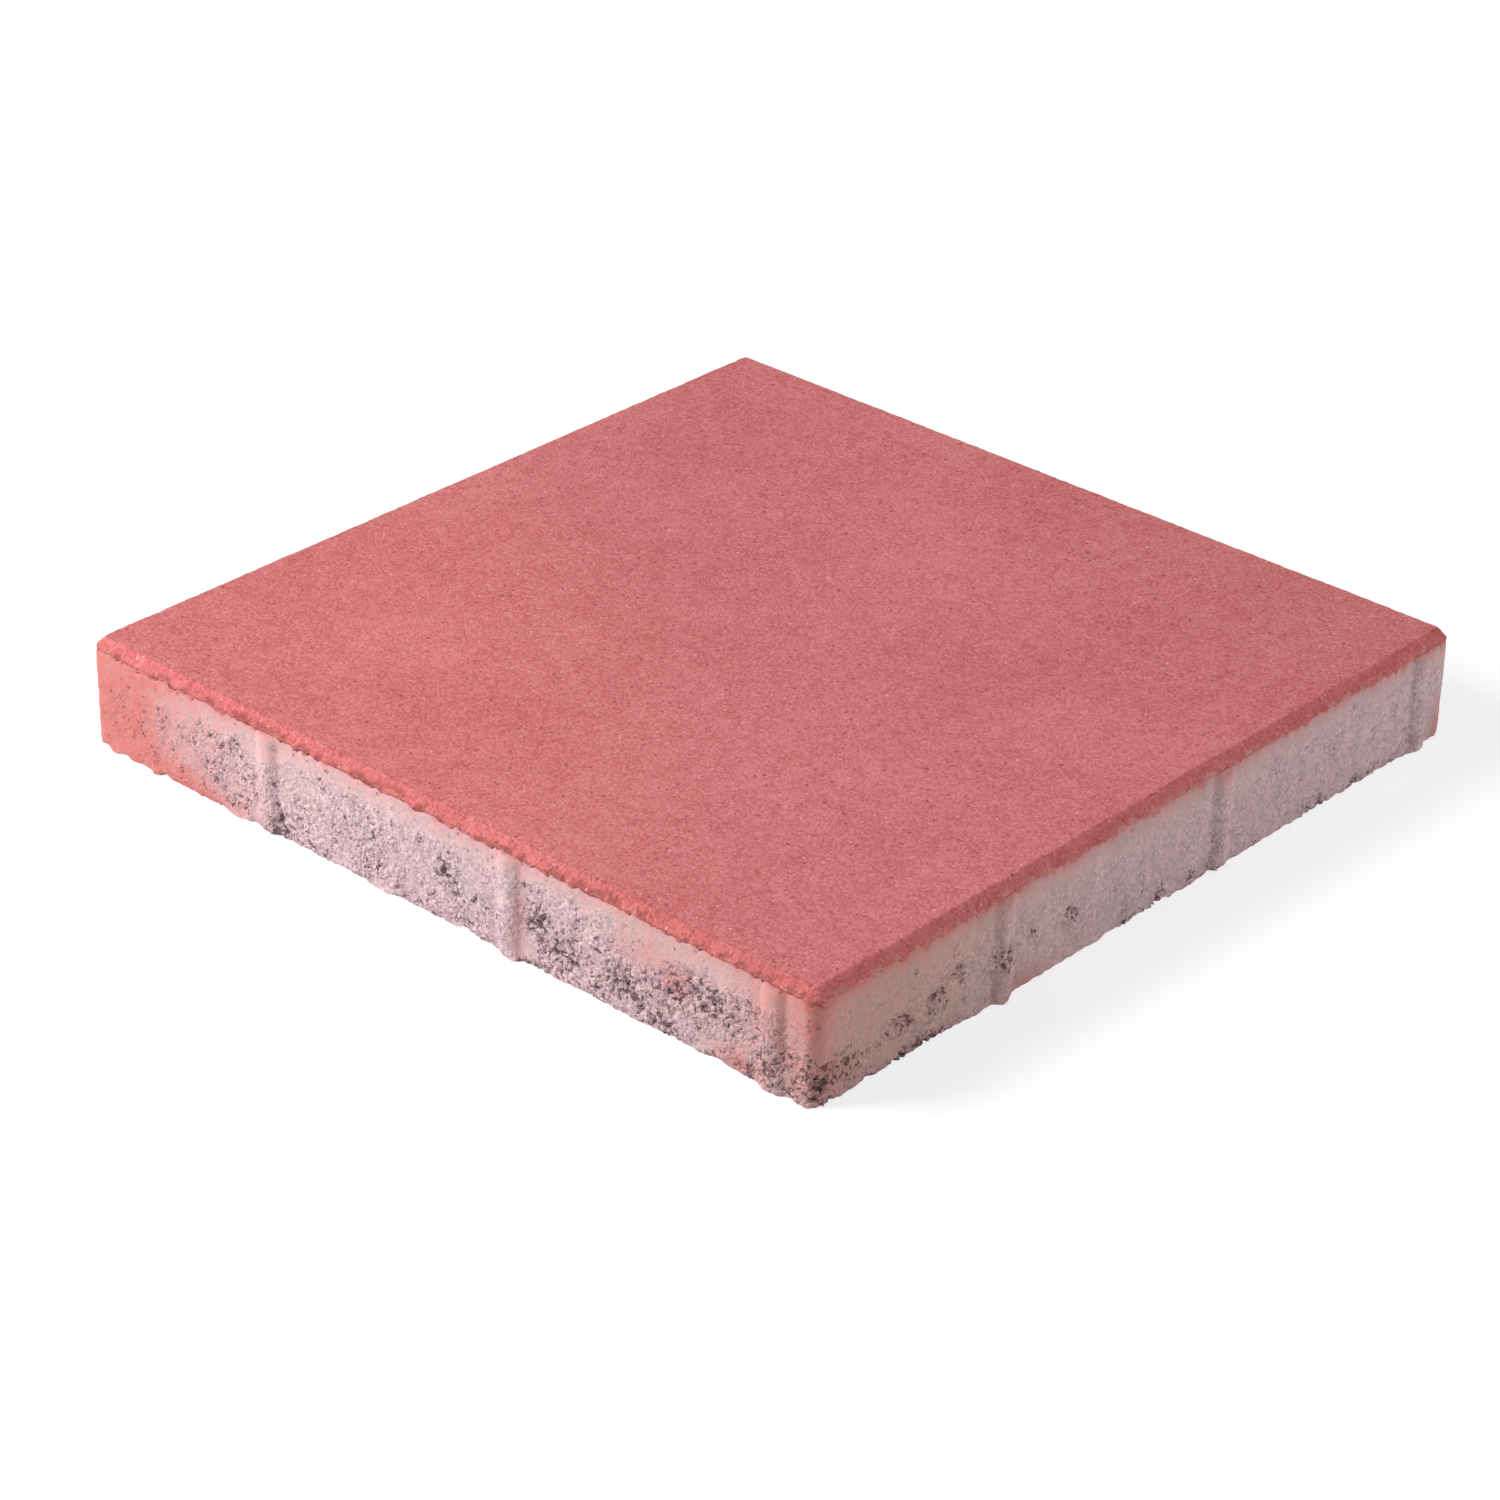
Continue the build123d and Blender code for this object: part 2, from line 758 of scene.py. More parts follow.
SIDE_LOOKS = {
    Side.RIGHT: SideLook(
        rough=0.2, paste_depth=9.0, paste_cover=0.3, lost_grains=0.08,
        pinholes=0.10, facing_drop=-0.2, line_pits=0.15, smear=1.0,
    ),
    Side.BACK: SideLook(
        rough=0.6, paste_depth=8.0, paste_cover=0.8, lost_grains=0.10,
        pinholes=0.07, facing_drop=0.0, line_pits=0.7, smear=0.5,
    ),
    Side.LEFT: SideLook(
        rough=0.4, paste_depth=11.0, paste_cover=0.7, lost_grains=0.08,
        pinholes=0.09, facing_drop=0.1, line_pits=0.7, smear=0.5,
    ),
    Side.FRONT: SideLook(
        rough=0.62, paste_depth=9.0, paste_cover=1.0, lost_grains=0.15,
        pinholes=0.06, facing_drop=-0.3, line_pits=1.0, smear=0.25,
    ),
}

# Places where the mix stayed open and grains fell out
HONEYCOMB = patches({
    Side.FRONT: (
        (-125.0, 33.0, 9.0, 5.0, 0.25),
        (-106.0, 6.0, 7.0, 5.0, 0.35),
        (-86.0, 6.0, 4.0, 7.0, 1.2),
        (-30.0, 12.0, 7.0, 6.0, 0.35),
        (9.0, 22.0, 7.0, 7.0, 0.65),
        (29.5, 16.6, 7.0, 5.0, 0.9),
        (57.0, 23.0, 6.0, 7.0, 0.9),
        (68.0, 12.0, 15.0, 6.0, 0.75),
        (103.0, 12.0, 16.0, 10.0, 0.72),
        (128.0, 20.0, 6.0, 8.0, 0.85),
        (147.0, 25.0, 12.0, 7.0, 1.3),
        (125.0, 3.0, 6.0, 4.0, 0.8),
        (166.0, 2.0, 5.0, 4.0, 1.2),
        (176.0, 13.0, 7.0, 8.0, 0.8),
        (198.0, 8.0, 14.0, 12.0, 1.0),
    ),
    Side.RIGHT: (
        (-182.0, 14.0, 9.0, 9.0, 0.5),
        (-152.0, 16.0, 8.0, 5.0, 0.95),
        (-129.0, 17.5, 5.0, 6.0, 1.2),
        (-119.0, 23.5, 4.0, 4.0, 0.95),
        (-92.0, 18.5, 6.0, 5.0, 1.15),
        (-77.0, 22.0, 4.0, 3.5, 0.5),
        (-53.0, 20.0, 6.0, 5.0, 0.85),
        (-135.0, 2.0, 16.0, 3.0, 0.8),
        (5.0, 4.0, 6.0, 4.0, 0.6),
        (30.0, 2.5, 8.0, 4.0, 0.9),
        (41.0, 15.0, 6.0, 5.0, 0.5),
        (109.0, 4.0, 6.0, 4.0, 0.9),
        (136.0, 2.0, 6.0, 3.0, 0.8),
        (178.0, 25.0, 5.0, 4.0, 0.4),
    ),
    Side.BACK: (
        (-120.0, 16.0, 20.0, 10.0, 0.7),
        (-30.0, 22.0, 8.0, 7.0, 0.6),
        (95.0, 12.0, 15.0, 9.0, 0.8),
    ),
    Side.LEFT: (
        (-60.0, 10.0, 14.0, 8.0, 0.7),
        (20.0, 24.0, 6.0, 5.0, 0.6),
        (130.0, 18.0, 12.0, 9.0, 0.6),
    ),
})

# Places where red facing mix ran down or was smeared in the mould
STAINS = patches({
    Side.FRONT: (
        (-204.0, 22.0, 72.0, 60.0, 0.97),
        (-150.0, 0.0, 44.0, 9.0, 0.75),
        (49.0, 16.0, 3.5, 20.0, 0.4),
        (112.0, 30.0, 16.0, 9.0, 0.35),
        (129.0, 25.0, 7.0, 7.0, 0.4),
        (160.0, 5.0, 10.0, 6.0, 0.55),
        (176.0, 32.0, 14.0, 14.0, 0.28),
        (197.0, 36.0, 9.0, 14.0, 0.45),
        (197.0, 10.0, 16.0, 14.0, 0.3),
    ),
    Side.RIGHT: (
        (195.0, 6.0, 7.0, 11.0, 0.7),
        (-78.0, 3.0, 12.0, 5.0, 0.4),
        (-180.0, 32.0, 60.0, 36.0, 0.24),
    ),
    Side.BACK: ((150.0, 4.0, 26.0, 7.0, 0.6),),
    Side.LEFT: ((194.0, 25.0, 24.0, 60.0, 1.1), (-150.0, 2.0, 30.0, 6.0, 0.5)),
})

# Places where the backing is warmer in tone
WARM_PLACES = patches({
    Side.RIGHT: (
        (-130.0, 26.0, 60.0, 70.0, 1.0),
        (-185.0, 20.0, 22.0, 45.0, 0.6),
        (20.0, 42.0, 70.0, 16.0, 0.35),
    ),
    Side.FRONT: ((130.0, 20.0, 80.0, 60.0, 0.12),),
    Side.LEFT: ((-40.0, 26.0, 70.0, 60.0, 0.6),),
})


def total_weight(places: tuple[Patch, ...], sizes: SlabSizes, points: Floats) -> Floats:
    """Adds up the patches' strengths at some points."""
    return sum((patch.weight(sizes, points) for patch in places), np.zeros(points.shape[:-1]))


def by_side(outline: Outline, name: str) -> Floats:
    """Gives each column one of its side's looks, eased round the corners.

    Args:
        outline: The columns.
        name: The look's name.

    Returns:
        One number for each column.
    """
    values = np.array([getattr(SIDE_LOOKS[side], name) for side in Side])
    turn = outline.turns() % 1.0
    near_start = 0.5 * (1.0 - ease(0.0, CORNER_EASE, turn))
    near_end = 0.5 * ease(1.0 - CORNER_EASE, 1.0, turn)
    before = values[(outline.side - 1) % len(values)]
    after = values[(outline.side + 1) % len(values)]
    return values[outline.side] * (1.0 - near_start - near_end) + before * near_start + after * near_end


@dataclass
class FacingLine:
    """The ragged line on the sides where the facing ends and the backing begins."""

    outline: Outline
    mean_drop: float = 1.1
    highest: float = 0.42
    lowest: float = 4.2
    over_rib: float = 0.04
    noise: Noise = Noise(seed=3)
    waves: tuple[Wave, ...] = (Wave(0.4, 45.0, 2), Wave(0.5, 7.0, 2), Wave(1.2, 2.1, shift=70.0))
    height: Floats = field(init=False)

    def __post_init__(self) -> None:
        """Draws the line once, so that both layers share it."""
        sizes = self.outline.sizes
        drop = self.mean_drop + by_side(self.outline, "facing_drop")
        drop = drop + self.noise.waves(self.outline.feet(), *self.waves)
        plain = sizes.bevel_foot - np.clip(drop, self.highest, self.lowest)
        self.height = np.where(self.outline.on_rib(), sizes.rib_top + self.over_rib, plain)


@dataclass
class LayerJoint:
    """The hidden surface between the two layers, inside the slab."""

    outline: Outline
    depth: float = 7.0
    inset: float = 14.0
    cells: int = 24
    map_half: float = 0.05  # half of the joint's square on the flat map
    map_grid: float = 0.04  # half of the square that its grid takes there

    def close(self, shell: Shell, rim: Ints, corner: tuple[float, float], upwards: bool) -> None:
        """Closes a layer's mesh with the joint.

        Args:
            shell: The layer's mesh.
            rim: The numbers of the layer's points on the facing line.
            corner: Where the joint's own place on the flat map begins.
            upwards: Whether the faces look up.
        """
        sizes = self.outline.sizes
        grid = level_grid(sizes.half - self.inset, self.cells, sizes.thickness - self.depth)
        middle = np.array(corner) + self.map_half
        flat = middle + self.map_grid * grid[..., :2] / sizes.half
        reach = middle + self.map_half * self.outline.foot / sizes.half
        shell.cover(grid, flat, (rim, self.outline.turns(), reach), upwards)


@dataclass
class FacingLayer:
    """The red facing: walking face, bevel and the narrow ragged strip below it."""

    outline: Outline
    line: FacingLine
    joint: LayerJoint
    cell: float = 1.6
    grid_inset: float = 8.0
    rim_inset: float = 6.2
    low_edge_radius: float = 0.65
    high_edge_radius: float = 1.3
    edge_steps: int = 3
    strip_rows: int = 3
    strip_top: float = 0.3
    bevel_row: float = 1.1
    top_sink: float = 0.15
    top_fade: float = 2.5  # how far down the walking face's relief runs out
    # The strip of shade painted just above the facing line: its middle's height above the line and its spread
    foot_shade_rise: float = 1.3  # from the line up to the middle of the dark strip
    foot_shade_spread: float = 1.1
    smear_spread: float = 1.5
    noise: Noise = Noise(seed=21)
    side_waves: tuple[Wave, ...] = (Wave(0.14, 14.0, 2), Wave(0.21, 2.4, shift=50.0))
    top_waves: tuple[Wave, ...] = (Wave(0.1, 70.0, 2), Wave(0.05, 4.0), Wave(0.05, 1.7, shift=30.0))
    bevel_starts: Span = (0.05, 0.45)  # below the walking face
    bevel_ends: Span = (-0.6, 0.2)  # above the bevel's lower edge
    foot_shade_breaks: Breaks = Breaks(Wave(1.0, 3.4, shift=80.0), (-0.4, 0.2))
    smear_breaks: Breaks = Breaks(Wave(1.0, 2.3, shift=120.0), (-0.3, 0.5))
    map_middle: float = 0.45
    map_half: float = 0.44
    map_margin: float = 9.0  # how far the unrolled edge reaches past the plain side
    joint_corner: tuple[float, float] = (0.9, 0.9)

    def build(self, material: bpy.types.Material) -> bpy.types.Object:
        """Makes the layer's mesh and dresses it.

        Args:
            material: The facing's finish.

        Returns:
            The piece.
        """
        sizes, outline = self.outline.sizes, self.outline
        shell = Shell("facing_layer")
        inset, height = self._profile()
        length = np.hypot(np.diff(inset, axis=0), np.diff(height, axis=0))
        run = np.concatenate([np.zeros((1, inset.shape[1])), np.cumsum(length, axis=0)])
        unrolled = run[-1] - run - self.rim_inset
        plain = outline.rows(inset, height)
        points = outline.rows(inset - self.noise.waves(plain, *self.side_waves), height)
        upper = ease(-self.top_fade, 0.0, plain[..., 2] - sizes.thickness)
        points[..., 2] += self._top_relief(plain) * upper
        rows = shell.add(points, self._paint(plain))
        flat = self._flat(outline.foot[None] + outline.outward[None] * unrolled[..., None])
        around = np.arange(rows.shape[1] + 1) % rows.shape[1]
        shell.quads(rows[:, around], flat[:, around])

        half = sizes.half - self.grid_inset
        grid = level_grid(half, round(2.0 * half / self.cell), sizes.thickness)
        grid_flat = self._flat(grid[..., :2])
        grid[..., 2] += self._top_relief(grid)
        shell.cover(grid, grid_flat, (rows[-1], outline.turns(), flat[-1]), upwards=True)
        self.joint.close(shell, rows[0], self.joint_corner, upwards=False)
        return shell.build(material)

    def _profile(self) -> tuple[Floats, Floats]:
        """Gives the layer's section from the facing line up to the walking face.

        Returns:
            Distances in from the plain side and heights, one row of columns for each level.
        """
        sizes, line = self.outline.sizes, self.line.height
        edge, top = sizes.bevel_foot, sizes.thickness
        shares = np.linspace(0.0, 1.0, self.strip_rows, endpoint=False)[:, None]
        strip = line + (edge - self.strip_top - line) * shares
        bends = [(0.0, edge - self.strip_top), (0.0, edge), (sizes.bevel, top), (self.rim_inset, top)]
        path = rounded_path(bends, [self.low_edge_radius, self.high_edge_radius], self.edge_steps)
        path = refined_path(path, self.bevel_row)
        columns = np.ones(len(line))
        inset = np.concatenate([np.zeros_like(strip), path[:, :1] * columns])
        height = np.concatenate([strip, path[:, 1:] * columns])
        return inset, height

    def _paint(self, points: Floats) -> dict[Paint, Floats]:
        """Paints the bevel, a ragged strip of painted shade at its foot and the smeared places.

        Args:
            points: Points of the smooth edge, one row of columns for each level.

        Returns:
            Values in the same rows.
        """
        sizes, noise, height = self.outline.sizes, self.noise, points[..., 2]
        above = height - self.line.height
        bevel = ease(*self.bevel_starts, sizes.thickness - height)
        # A ragged strip of painted shade just above the facing line
        foot = bell((above - self.foot_shade_rise) / self.foot_shade_spread) * by_side(self.outline, "line_pits")
        smear = bell(above / self.smear_spread) * by_side(self.outline, "smear")
        return {
            Paint.BEVEL: bevel * ease(*self.bevel_ends, height - sizes.bevel_foot),
            Paint.STRIP: foot * self.foot_shade_breaks.share(noise, points),
            Paint.SMEAR: smear * self.smear_breaks.share(noise, points),
        }

    def _top_relief(self, points: Floats) -> Floats:
        """Gives how far the walking face rises above level, in millimetres, at some points."""
        return self.noise.waves(points, *self.top_waves) - self.top_sink

    def _flat(self, plan: Floats) -> Floats:
        """Places points of the unrolled layer on the flat map."""
        return self.map_middle + self.map_half * plan / (self.outline.sizes.half + self.map_margin)


@dataclass
class MouldedSides:
    """The backing's sides as they left the mould: paste, stains, open places, lost grains and worn edges."""

    outline: Outline
    line: FacingLine
    noise: Noise = Noise(seed=57)

    # Smooth paste below the facing line
    paste_edge: tuple[Wave, ...] = (Wave(4.0, 30.0, 2, rise=0.2), Wave(4.0, 8.0, 3))
    paste_fade: float = 3.0
    rib_paste_loss: float = 1.0

    # Red washed down from the line: strength and depth
    wash: tuple[float, float] = (0.33, 4.0)
    wash_smear: float = 0.2
    line_wash: tuple[float, float] = (0.2, 1.5)

    # Open places, and crumbs lost from the foot: strength and height
    crumbs: tuple[float, float] = (0.75, 3.5)
    crumb_breaks: Breaks = Breaks(Wave(1.0, 15.0, 2, shift=510.0, rise=0.0), (-0.15, 0.45))
    open_breaks: Wave = Wave(0.6, 5.0, shift=210.0)
    rough_waves: tuple[Wave, ...] = (Wave(0.35, 26.0, 2), Wave(0.3, 6.0))
    paste_smooths: float = 0.8
    stain_smooths: float = 0.3
    open_roughens: float = 0.5
    rough_opens: float = 0.3
    mix_opens: float = 0.55

    # Grains, the gaps between them and the hollows of lost ones
    grain: float = 2.2
    grain_bend: tuple[Wave, ...] = tuple(Wave(1.1, 3.6, shift=shift) for shift in (310.0, 320.0, 330.0))
    grain_reach: float = 0.8
    gap: Span = (0.03, 0.34)
    gap_depth: float = 0.9
    lost_grain_depth: float = 2.3
    lost_grain_rim: float = 0.35
    open_loses: float = 0.22
    open_loses_most: float = 1.2
    lost_fade: float = 0.1
    dome_height: float = 0.2

    # Pinholes, and pits along the facing line
    pinholes: Holes = Holes(pitch=6.5, shift=400.0, least=0.1, growth=1.2, bare=0.7)
    pinhole_depth: float = 1.3
    line_pit_breaks: Breaks = Breaks(Wave(1.0, 3.6, shift=140.0, rise=0.6), (-0.15, 0.35))
    line_pit_spread: float = 0.9
    line_pit_depth: float = 0.9

    # Unevenness all over, the lip under the line, the worn foot and burrs on it
    broad: Wave = Wave(0.16, 42.0, 2)
    ripple: Wave = Wave(1.0, 2.3)
    ripple_height: float = 0.06
    rough_ripple_height: float = 0.14
    streaks: Wave = Wave(0.06, 1.8, shift=90.0, rise=0.07)
    lip_spread: float = 0.9
    lip_depth: float = 0.25
    lip_waves: Wave = Wave(0.45, 6.0, 2, rise=0.0)
    worn_spread: float = 1.3
    worn_depth: float = 0.45
    worn_waves: Wave = Wave(0.4, 5.0, 2, shift=5.0, rise=0.0)
    burr_spread: float = 1.6
    burr_height: float = 1.1
    burr_breaks: Breaks = Breaks(Wave(1.0, 13.0, shift=17.0, rise=0.0), (0.35, 0.9))
    line_fade: float = 1.2  # how far below the line pits reach their depth
    deepest: float = -4.5
    highest: float = 1.2

    # How much shade is painted into each kind of hollow
    sunk_shade: float = 0.26
    crevice_shade: float = 0.15
    pinhole_shade: float = 0.6
    line_pit_shade: float = 0.5

    def look(self, name: str) -> Floats:
        """Gives each column one of its side's looks."""
        return by_side(self.outline, name)

    def relief(self, points: Floats, ribs: Floats) -> tuple[Floats, dict[Paint, Floats]]:
        """Works out the sides' relief and what the finish needs to know of it.

        Args:
            points: Points of the plain ribbed sides, one row of columns for each level.
            ribs: How far the ribs stand out there.

        Returns:
            Distances outwards, in millimetres, and painted values, in the same rows.
        """
        depth = self.line.height - points[..., 2]
        paint, open_mix = self._coats(points, depth, ribs)
        gap, sunk = self._grains(points, open_mix, paint[Paint.ROUGH])
        hole, line_pit = self._holes(points, depth)
        fade = ease(0.0, self.line_fade, depth)
        relief = self._edges(points, depth, paint[Paint.ROUGH]) - self.line_pit_depth * line_pit
        relief = relief - fade * (sunk + self.pinhole_depth * hole)
        # Painted shade: how dark the sunk grains, the gaps in open mix, the pinholes and the pits along the
        # facing line are made in the colour
        dark = self.sunk_shade * sunk + self.crevice_shade * gap * paint[Paint.OPEN] + self.pinhole_shade * hole
        paint[Paint.PIT] = unit(fade * dark + self.line_pit_shade * line_pit)
        return np.clip(relief, self.deepest, self.highest), paint

    def _coats(self, points: Floats, depth: Floats, ribs: Floats) -> tuple[dict[Paint, Floats], Floats]:
        """Lays paste, stains, open places, roughness and warm tone over the sides.

        Args:
            points: Points of the plain ribbed sides.
            depth: Their depths below the facing line.
            ribs: How far the ribs stand out there.

        Returns:
            Painted values, and how open the mix is, which may pass 1.
        """
        sizes, noise, height = self.outline.sizes, self.noise, points[..., 2]
        paste_edge = self.look("paste_depth") + noise.waves(points, *self.paste_edge)
        paste_edge = paste_edge - self.rib_paste_loss * ribs / sizes.rib_proud
        paste = ease(-self.paste_fade, self.paste_fade, paste_edge - depth)

        washed = (self.wash[0] + self.wash_smear * self.look("smear")) * np.exp(-depth / self.wash[1])
        washed = washed + self.line_wash[0] * np.exp(-depth / self.line_wash[1])
        stain = unit(total_weight(STAINS, sizes, points) + washed)

        broken = self.crumb_breaks.share(noise, points)
        open_mix = total_weight(HONEYCOMB, sizes, points)
        open_mix = open_mix + self.crumbs[0] * np.exp(-height / self.crumbs[1]) * broken
        open_mix = open_mix * (1.0 + noise.waves(points, self.open_breaks))

        rough = self.look("rough") + noise.waves(points, *self.rough_waves)
        rough = rough * (1.0 - self.paste_smooths * paste) * (1.0 - self.stain_smooths * stain)
        paint = {
            Paint.PASTE: paste * self.look("paste_cover"),
            Paint.STAIN: stain,
            Paint.OPEN: unit(open_mix),
            Paint.ROUGH: unit(rough + self.open_roughens * unit(open_mix)),
            Paint.WARM: unit(total_weight(WARM_PLACES, sizes, points)),
        }
        return paint, open_mix

    def _grains(self, points: Floats, open_mix: Floats, rough: Floats) -> tuple[Floats, Floats]:
        """Sinks the gaps between grains and the hollows of lost ones.

        Args:
            points: Points of the plain ribbed sides.
            open_mix: How open the mix is there.
            rough: How rough the side is there.

        Returns:
            How near each point is to a gap, from 0 to 1, and how far it is sunk, in millimetres.
        """
        bent = np.stack([self.noise.waves(points, wave) for wave in self.grain_bend], axis=-1)
        near, second, own = self.noise.grains(points + bent, self.grain)
        gap = 1.0 - ease(*self.gap, second - near)
        dome = unit(1.0 - (near / self.grain_reach) ** 2)
        loose = self.look("lost_grains") + self.open_loses * np.clip(open_mix, 0.0, self.open_loses_most)
        lost = ease(0.0, self.lost_fade, loose - own)
        hollow = self.lost_grain_rim + (1.0 - self.lost_grain_rim) * dome
        sunk = self.gap_depth * gap + self.lost_grain_depth * lost * hollow
        sunk = sunk - self.dome_height * dome * (1.0 - lost)
        return gap, unit(self.rough_opens * rough + self.mix_opens * open_mix) * sunk

    def _holes(self, points: Floats, depth: Floats) -> tuple[Floats, Floats]:
        """Scatters pinholes, and pits along the facing line.

        Args:
            points: Points of the plain ribbed sides.
            depth: Their depths below the facing line.

        Returns:
            How deep each point lies in a pinhole and in a pit, from 0 to 1.
        """
        hole = self.pinholes.depth(self.noise, points, self.look("pinholes"))
        broken = self.line_pit_breaks.share(self.noise, points)
        return hole, self.look("line_pits") * broken * bell(depth / self.line_pit_spread)

    def _edges(self, points: Floats, depth: Floats, rough: Floats) -> Floats:
        """Makes the sides uneven, with a lip under the facing line and a worn, burred foot.

        Args:
            points: Points of the plain ribbed sides.
            depth: Their depths below the facing line.
            rough: How rough the side is there.

        Returns:
            Distances outwards, in millimetres.
        """
        noise, height = self.noise, points[..., 2]
        ripple = self.ripple_height + self.rough_ripple_height * rough
        uneven = noise.waves(points, self.broad, self.streaks) + ripple * noise.waves(points, self.ripple)
        lip = np.exp(-depth / self.lip_spread) * (self.lip_depth + noise.waves(points, self.lip_waves))
        worn = np.exp(-height / self.worn_spread) * (self.worn_depth + noise.waves(points, self.worn_waves))
        burr = self.burr_height * np.exp(-height / self.burr_spread) * self.burr_breaks.share(noise, points)
        return uneven - lip - worn + burr


@dataclass
class BackingConcrete:
    """The paler backing: ribbed sides with open, pitted places, and the underside."""

    outline: Outline
    line: FacingLine
    joint: LayerJoint
    rows: int = 48
    cell: float = 3.3
    grid_inset: float = 8.0
    noise: Noise = Noise(seed=57)

    # The chipped bottom edge
    chips: Breaks = Breaks(Wave(1.0, 9.0, 2, shift=11.0), (0.25, 1.0))
    chip_height: float = 1.8
    edge_waves: Wave = Wave(0.45, 2.8, shift=33.0)
    edge_height: float = 0.225

    # The underside
    bed_rough: float = 0.35
    bed_height: float = 0.3
    bed_waves: tuple[Wave, ...] = (Wave(0.3, 30.0, 2, shift=600.0), Wave(0.3, 7.0, 2))
    bed_highest: float = 3.0
    bed_pits: Holes = Holes(pitch=13.0, shift=700.0, least=0.12, growth=0.28, bare=0.4)
    bed_pit_depth: float = 1.4
    # Painted shade in the underside's pits
    bed_pit_shade: float = 0.6

    # Places on the flat map
    strip_margin: float = 0.004
    strip_height: float = 0.142
    strip_pitch: float = 0.15
    bed_middle: tuple[float, float] = (0.19, 0.80)
    bed_half: float = 0.17
    joint_corner: tuple[float, float] = (0.45, 0.65)

    def build(self, material: bpy.types.Material) -> bpy.types.Object:
        """Makes the layer's mesh and dresses it.

        Args:
            material: The backing's finish.

        Returns:
            The piece.
        """
        sizes, outline = self.outline.sizes, self.outline
        shell = Shell("backing_concrete")
        low = self._bottom_edge()
        shares = np.linspace(0.0, 1.0, self.rows + 1)[:, None]
        top = np.where(outline.on_rib(), sizes.rib_top, self.line.height)
        height = low + (top - low) * shares
        height[-1] = self.line.height
        height[-2] = np.where(outline.on_rib(), sizes.rib_top, height[-2])
        ribs = outline.ribs(height)
        relief, paint = MouldedSides(outline, self.line).relief(outline.rows(-ribs, height), ribs)
        rows = shell.add(outline.rows(-ribs - relief, height), paint)
        for side in Side:
            first, count = np.argmax(outline.side == side.value), np.sum(outline.side == side.value)
            columns = np.arange(first, first + count + 1) % len(outline.side)
            shell.quads(rows[:, columns], self._strip(side, len(columns), shares[:, 0]))

        half = sizes.half - self.grid_inset
        grid = level_grid(half, round(2.0 * half / self.cell), 0.0)
        grid[..., 2], pits = self._underside(grid)
        # The underside's pits get painted shade
        paint = {Paint.PIT: self.bed_pit_shade * pits, Paint.ROUGH: np.full(pits.shape, self.bed_rough)}
        rim = (rows[0], outline.turns(), self._bed_flat(outline.foot))
        shell.cover(grid, self._bed_flat(grid[..., :2]), rim, upwards=False, paint=paint)
        self.joint.close(shell, rows[-1], self.joint_corner, upwards=True)
        return shell.build(material)

    def _strip(self, side: Side, columns: int, shares: Floats) -> Floats:
        """Places a side on the flat map as a strip, above the strips of the sides before it.

        Args:
            side: The side.
            columns: Its number of columns.
            shares: Each row's share of the height.

        Returns:
            The columns' places, row after row.
        """
        across = np.linspace(self.strip_margin, 1.0 - self.strip_margin, columns)
        up = self.strip_margin + self.strip_height * shares + self.strip_pitch * side.value
        return np.stack(np.meshgrid(across, up), axis=-1)

    def _bed_flat(self, plan: Floats) -> Floats:
        """Places points of the underside on the flat map."""
        return np.array(self.bed_middle) + self.bed_half * plan / self.outline.sizes.half

    def _bottom_edge(self) -> Floats:
        """Chips the bottom edge.

        Returns:
            The edge's height, in millimetres, at each column.
        """
        feet = self.outline.feet()
        chips = self.chip_height * self.chips.share(self.noise, feet)
        return np.maximum(chips + self.noise.waves(feet, self.edge_waves) + self.edge_height, 0.0)

    def _underside(self, points: Floats) -> tuple[Floats, Floats]:
        """Works out the underside's relief.

        Args:
            points: Points of the level underside.

        Returns:
            Heights above the bed, in millimetres, and how deep in a pit each point lies, from 0 to 1.
        """
        pit = self.bed_pits.depth(self.noise, points)
        height = self.bed_height + self.noise.waves(points, *self.bed_waves) + self.bed_pit_depth * pit
        return np.clip(height, 0.0, self.bed_highest), pit


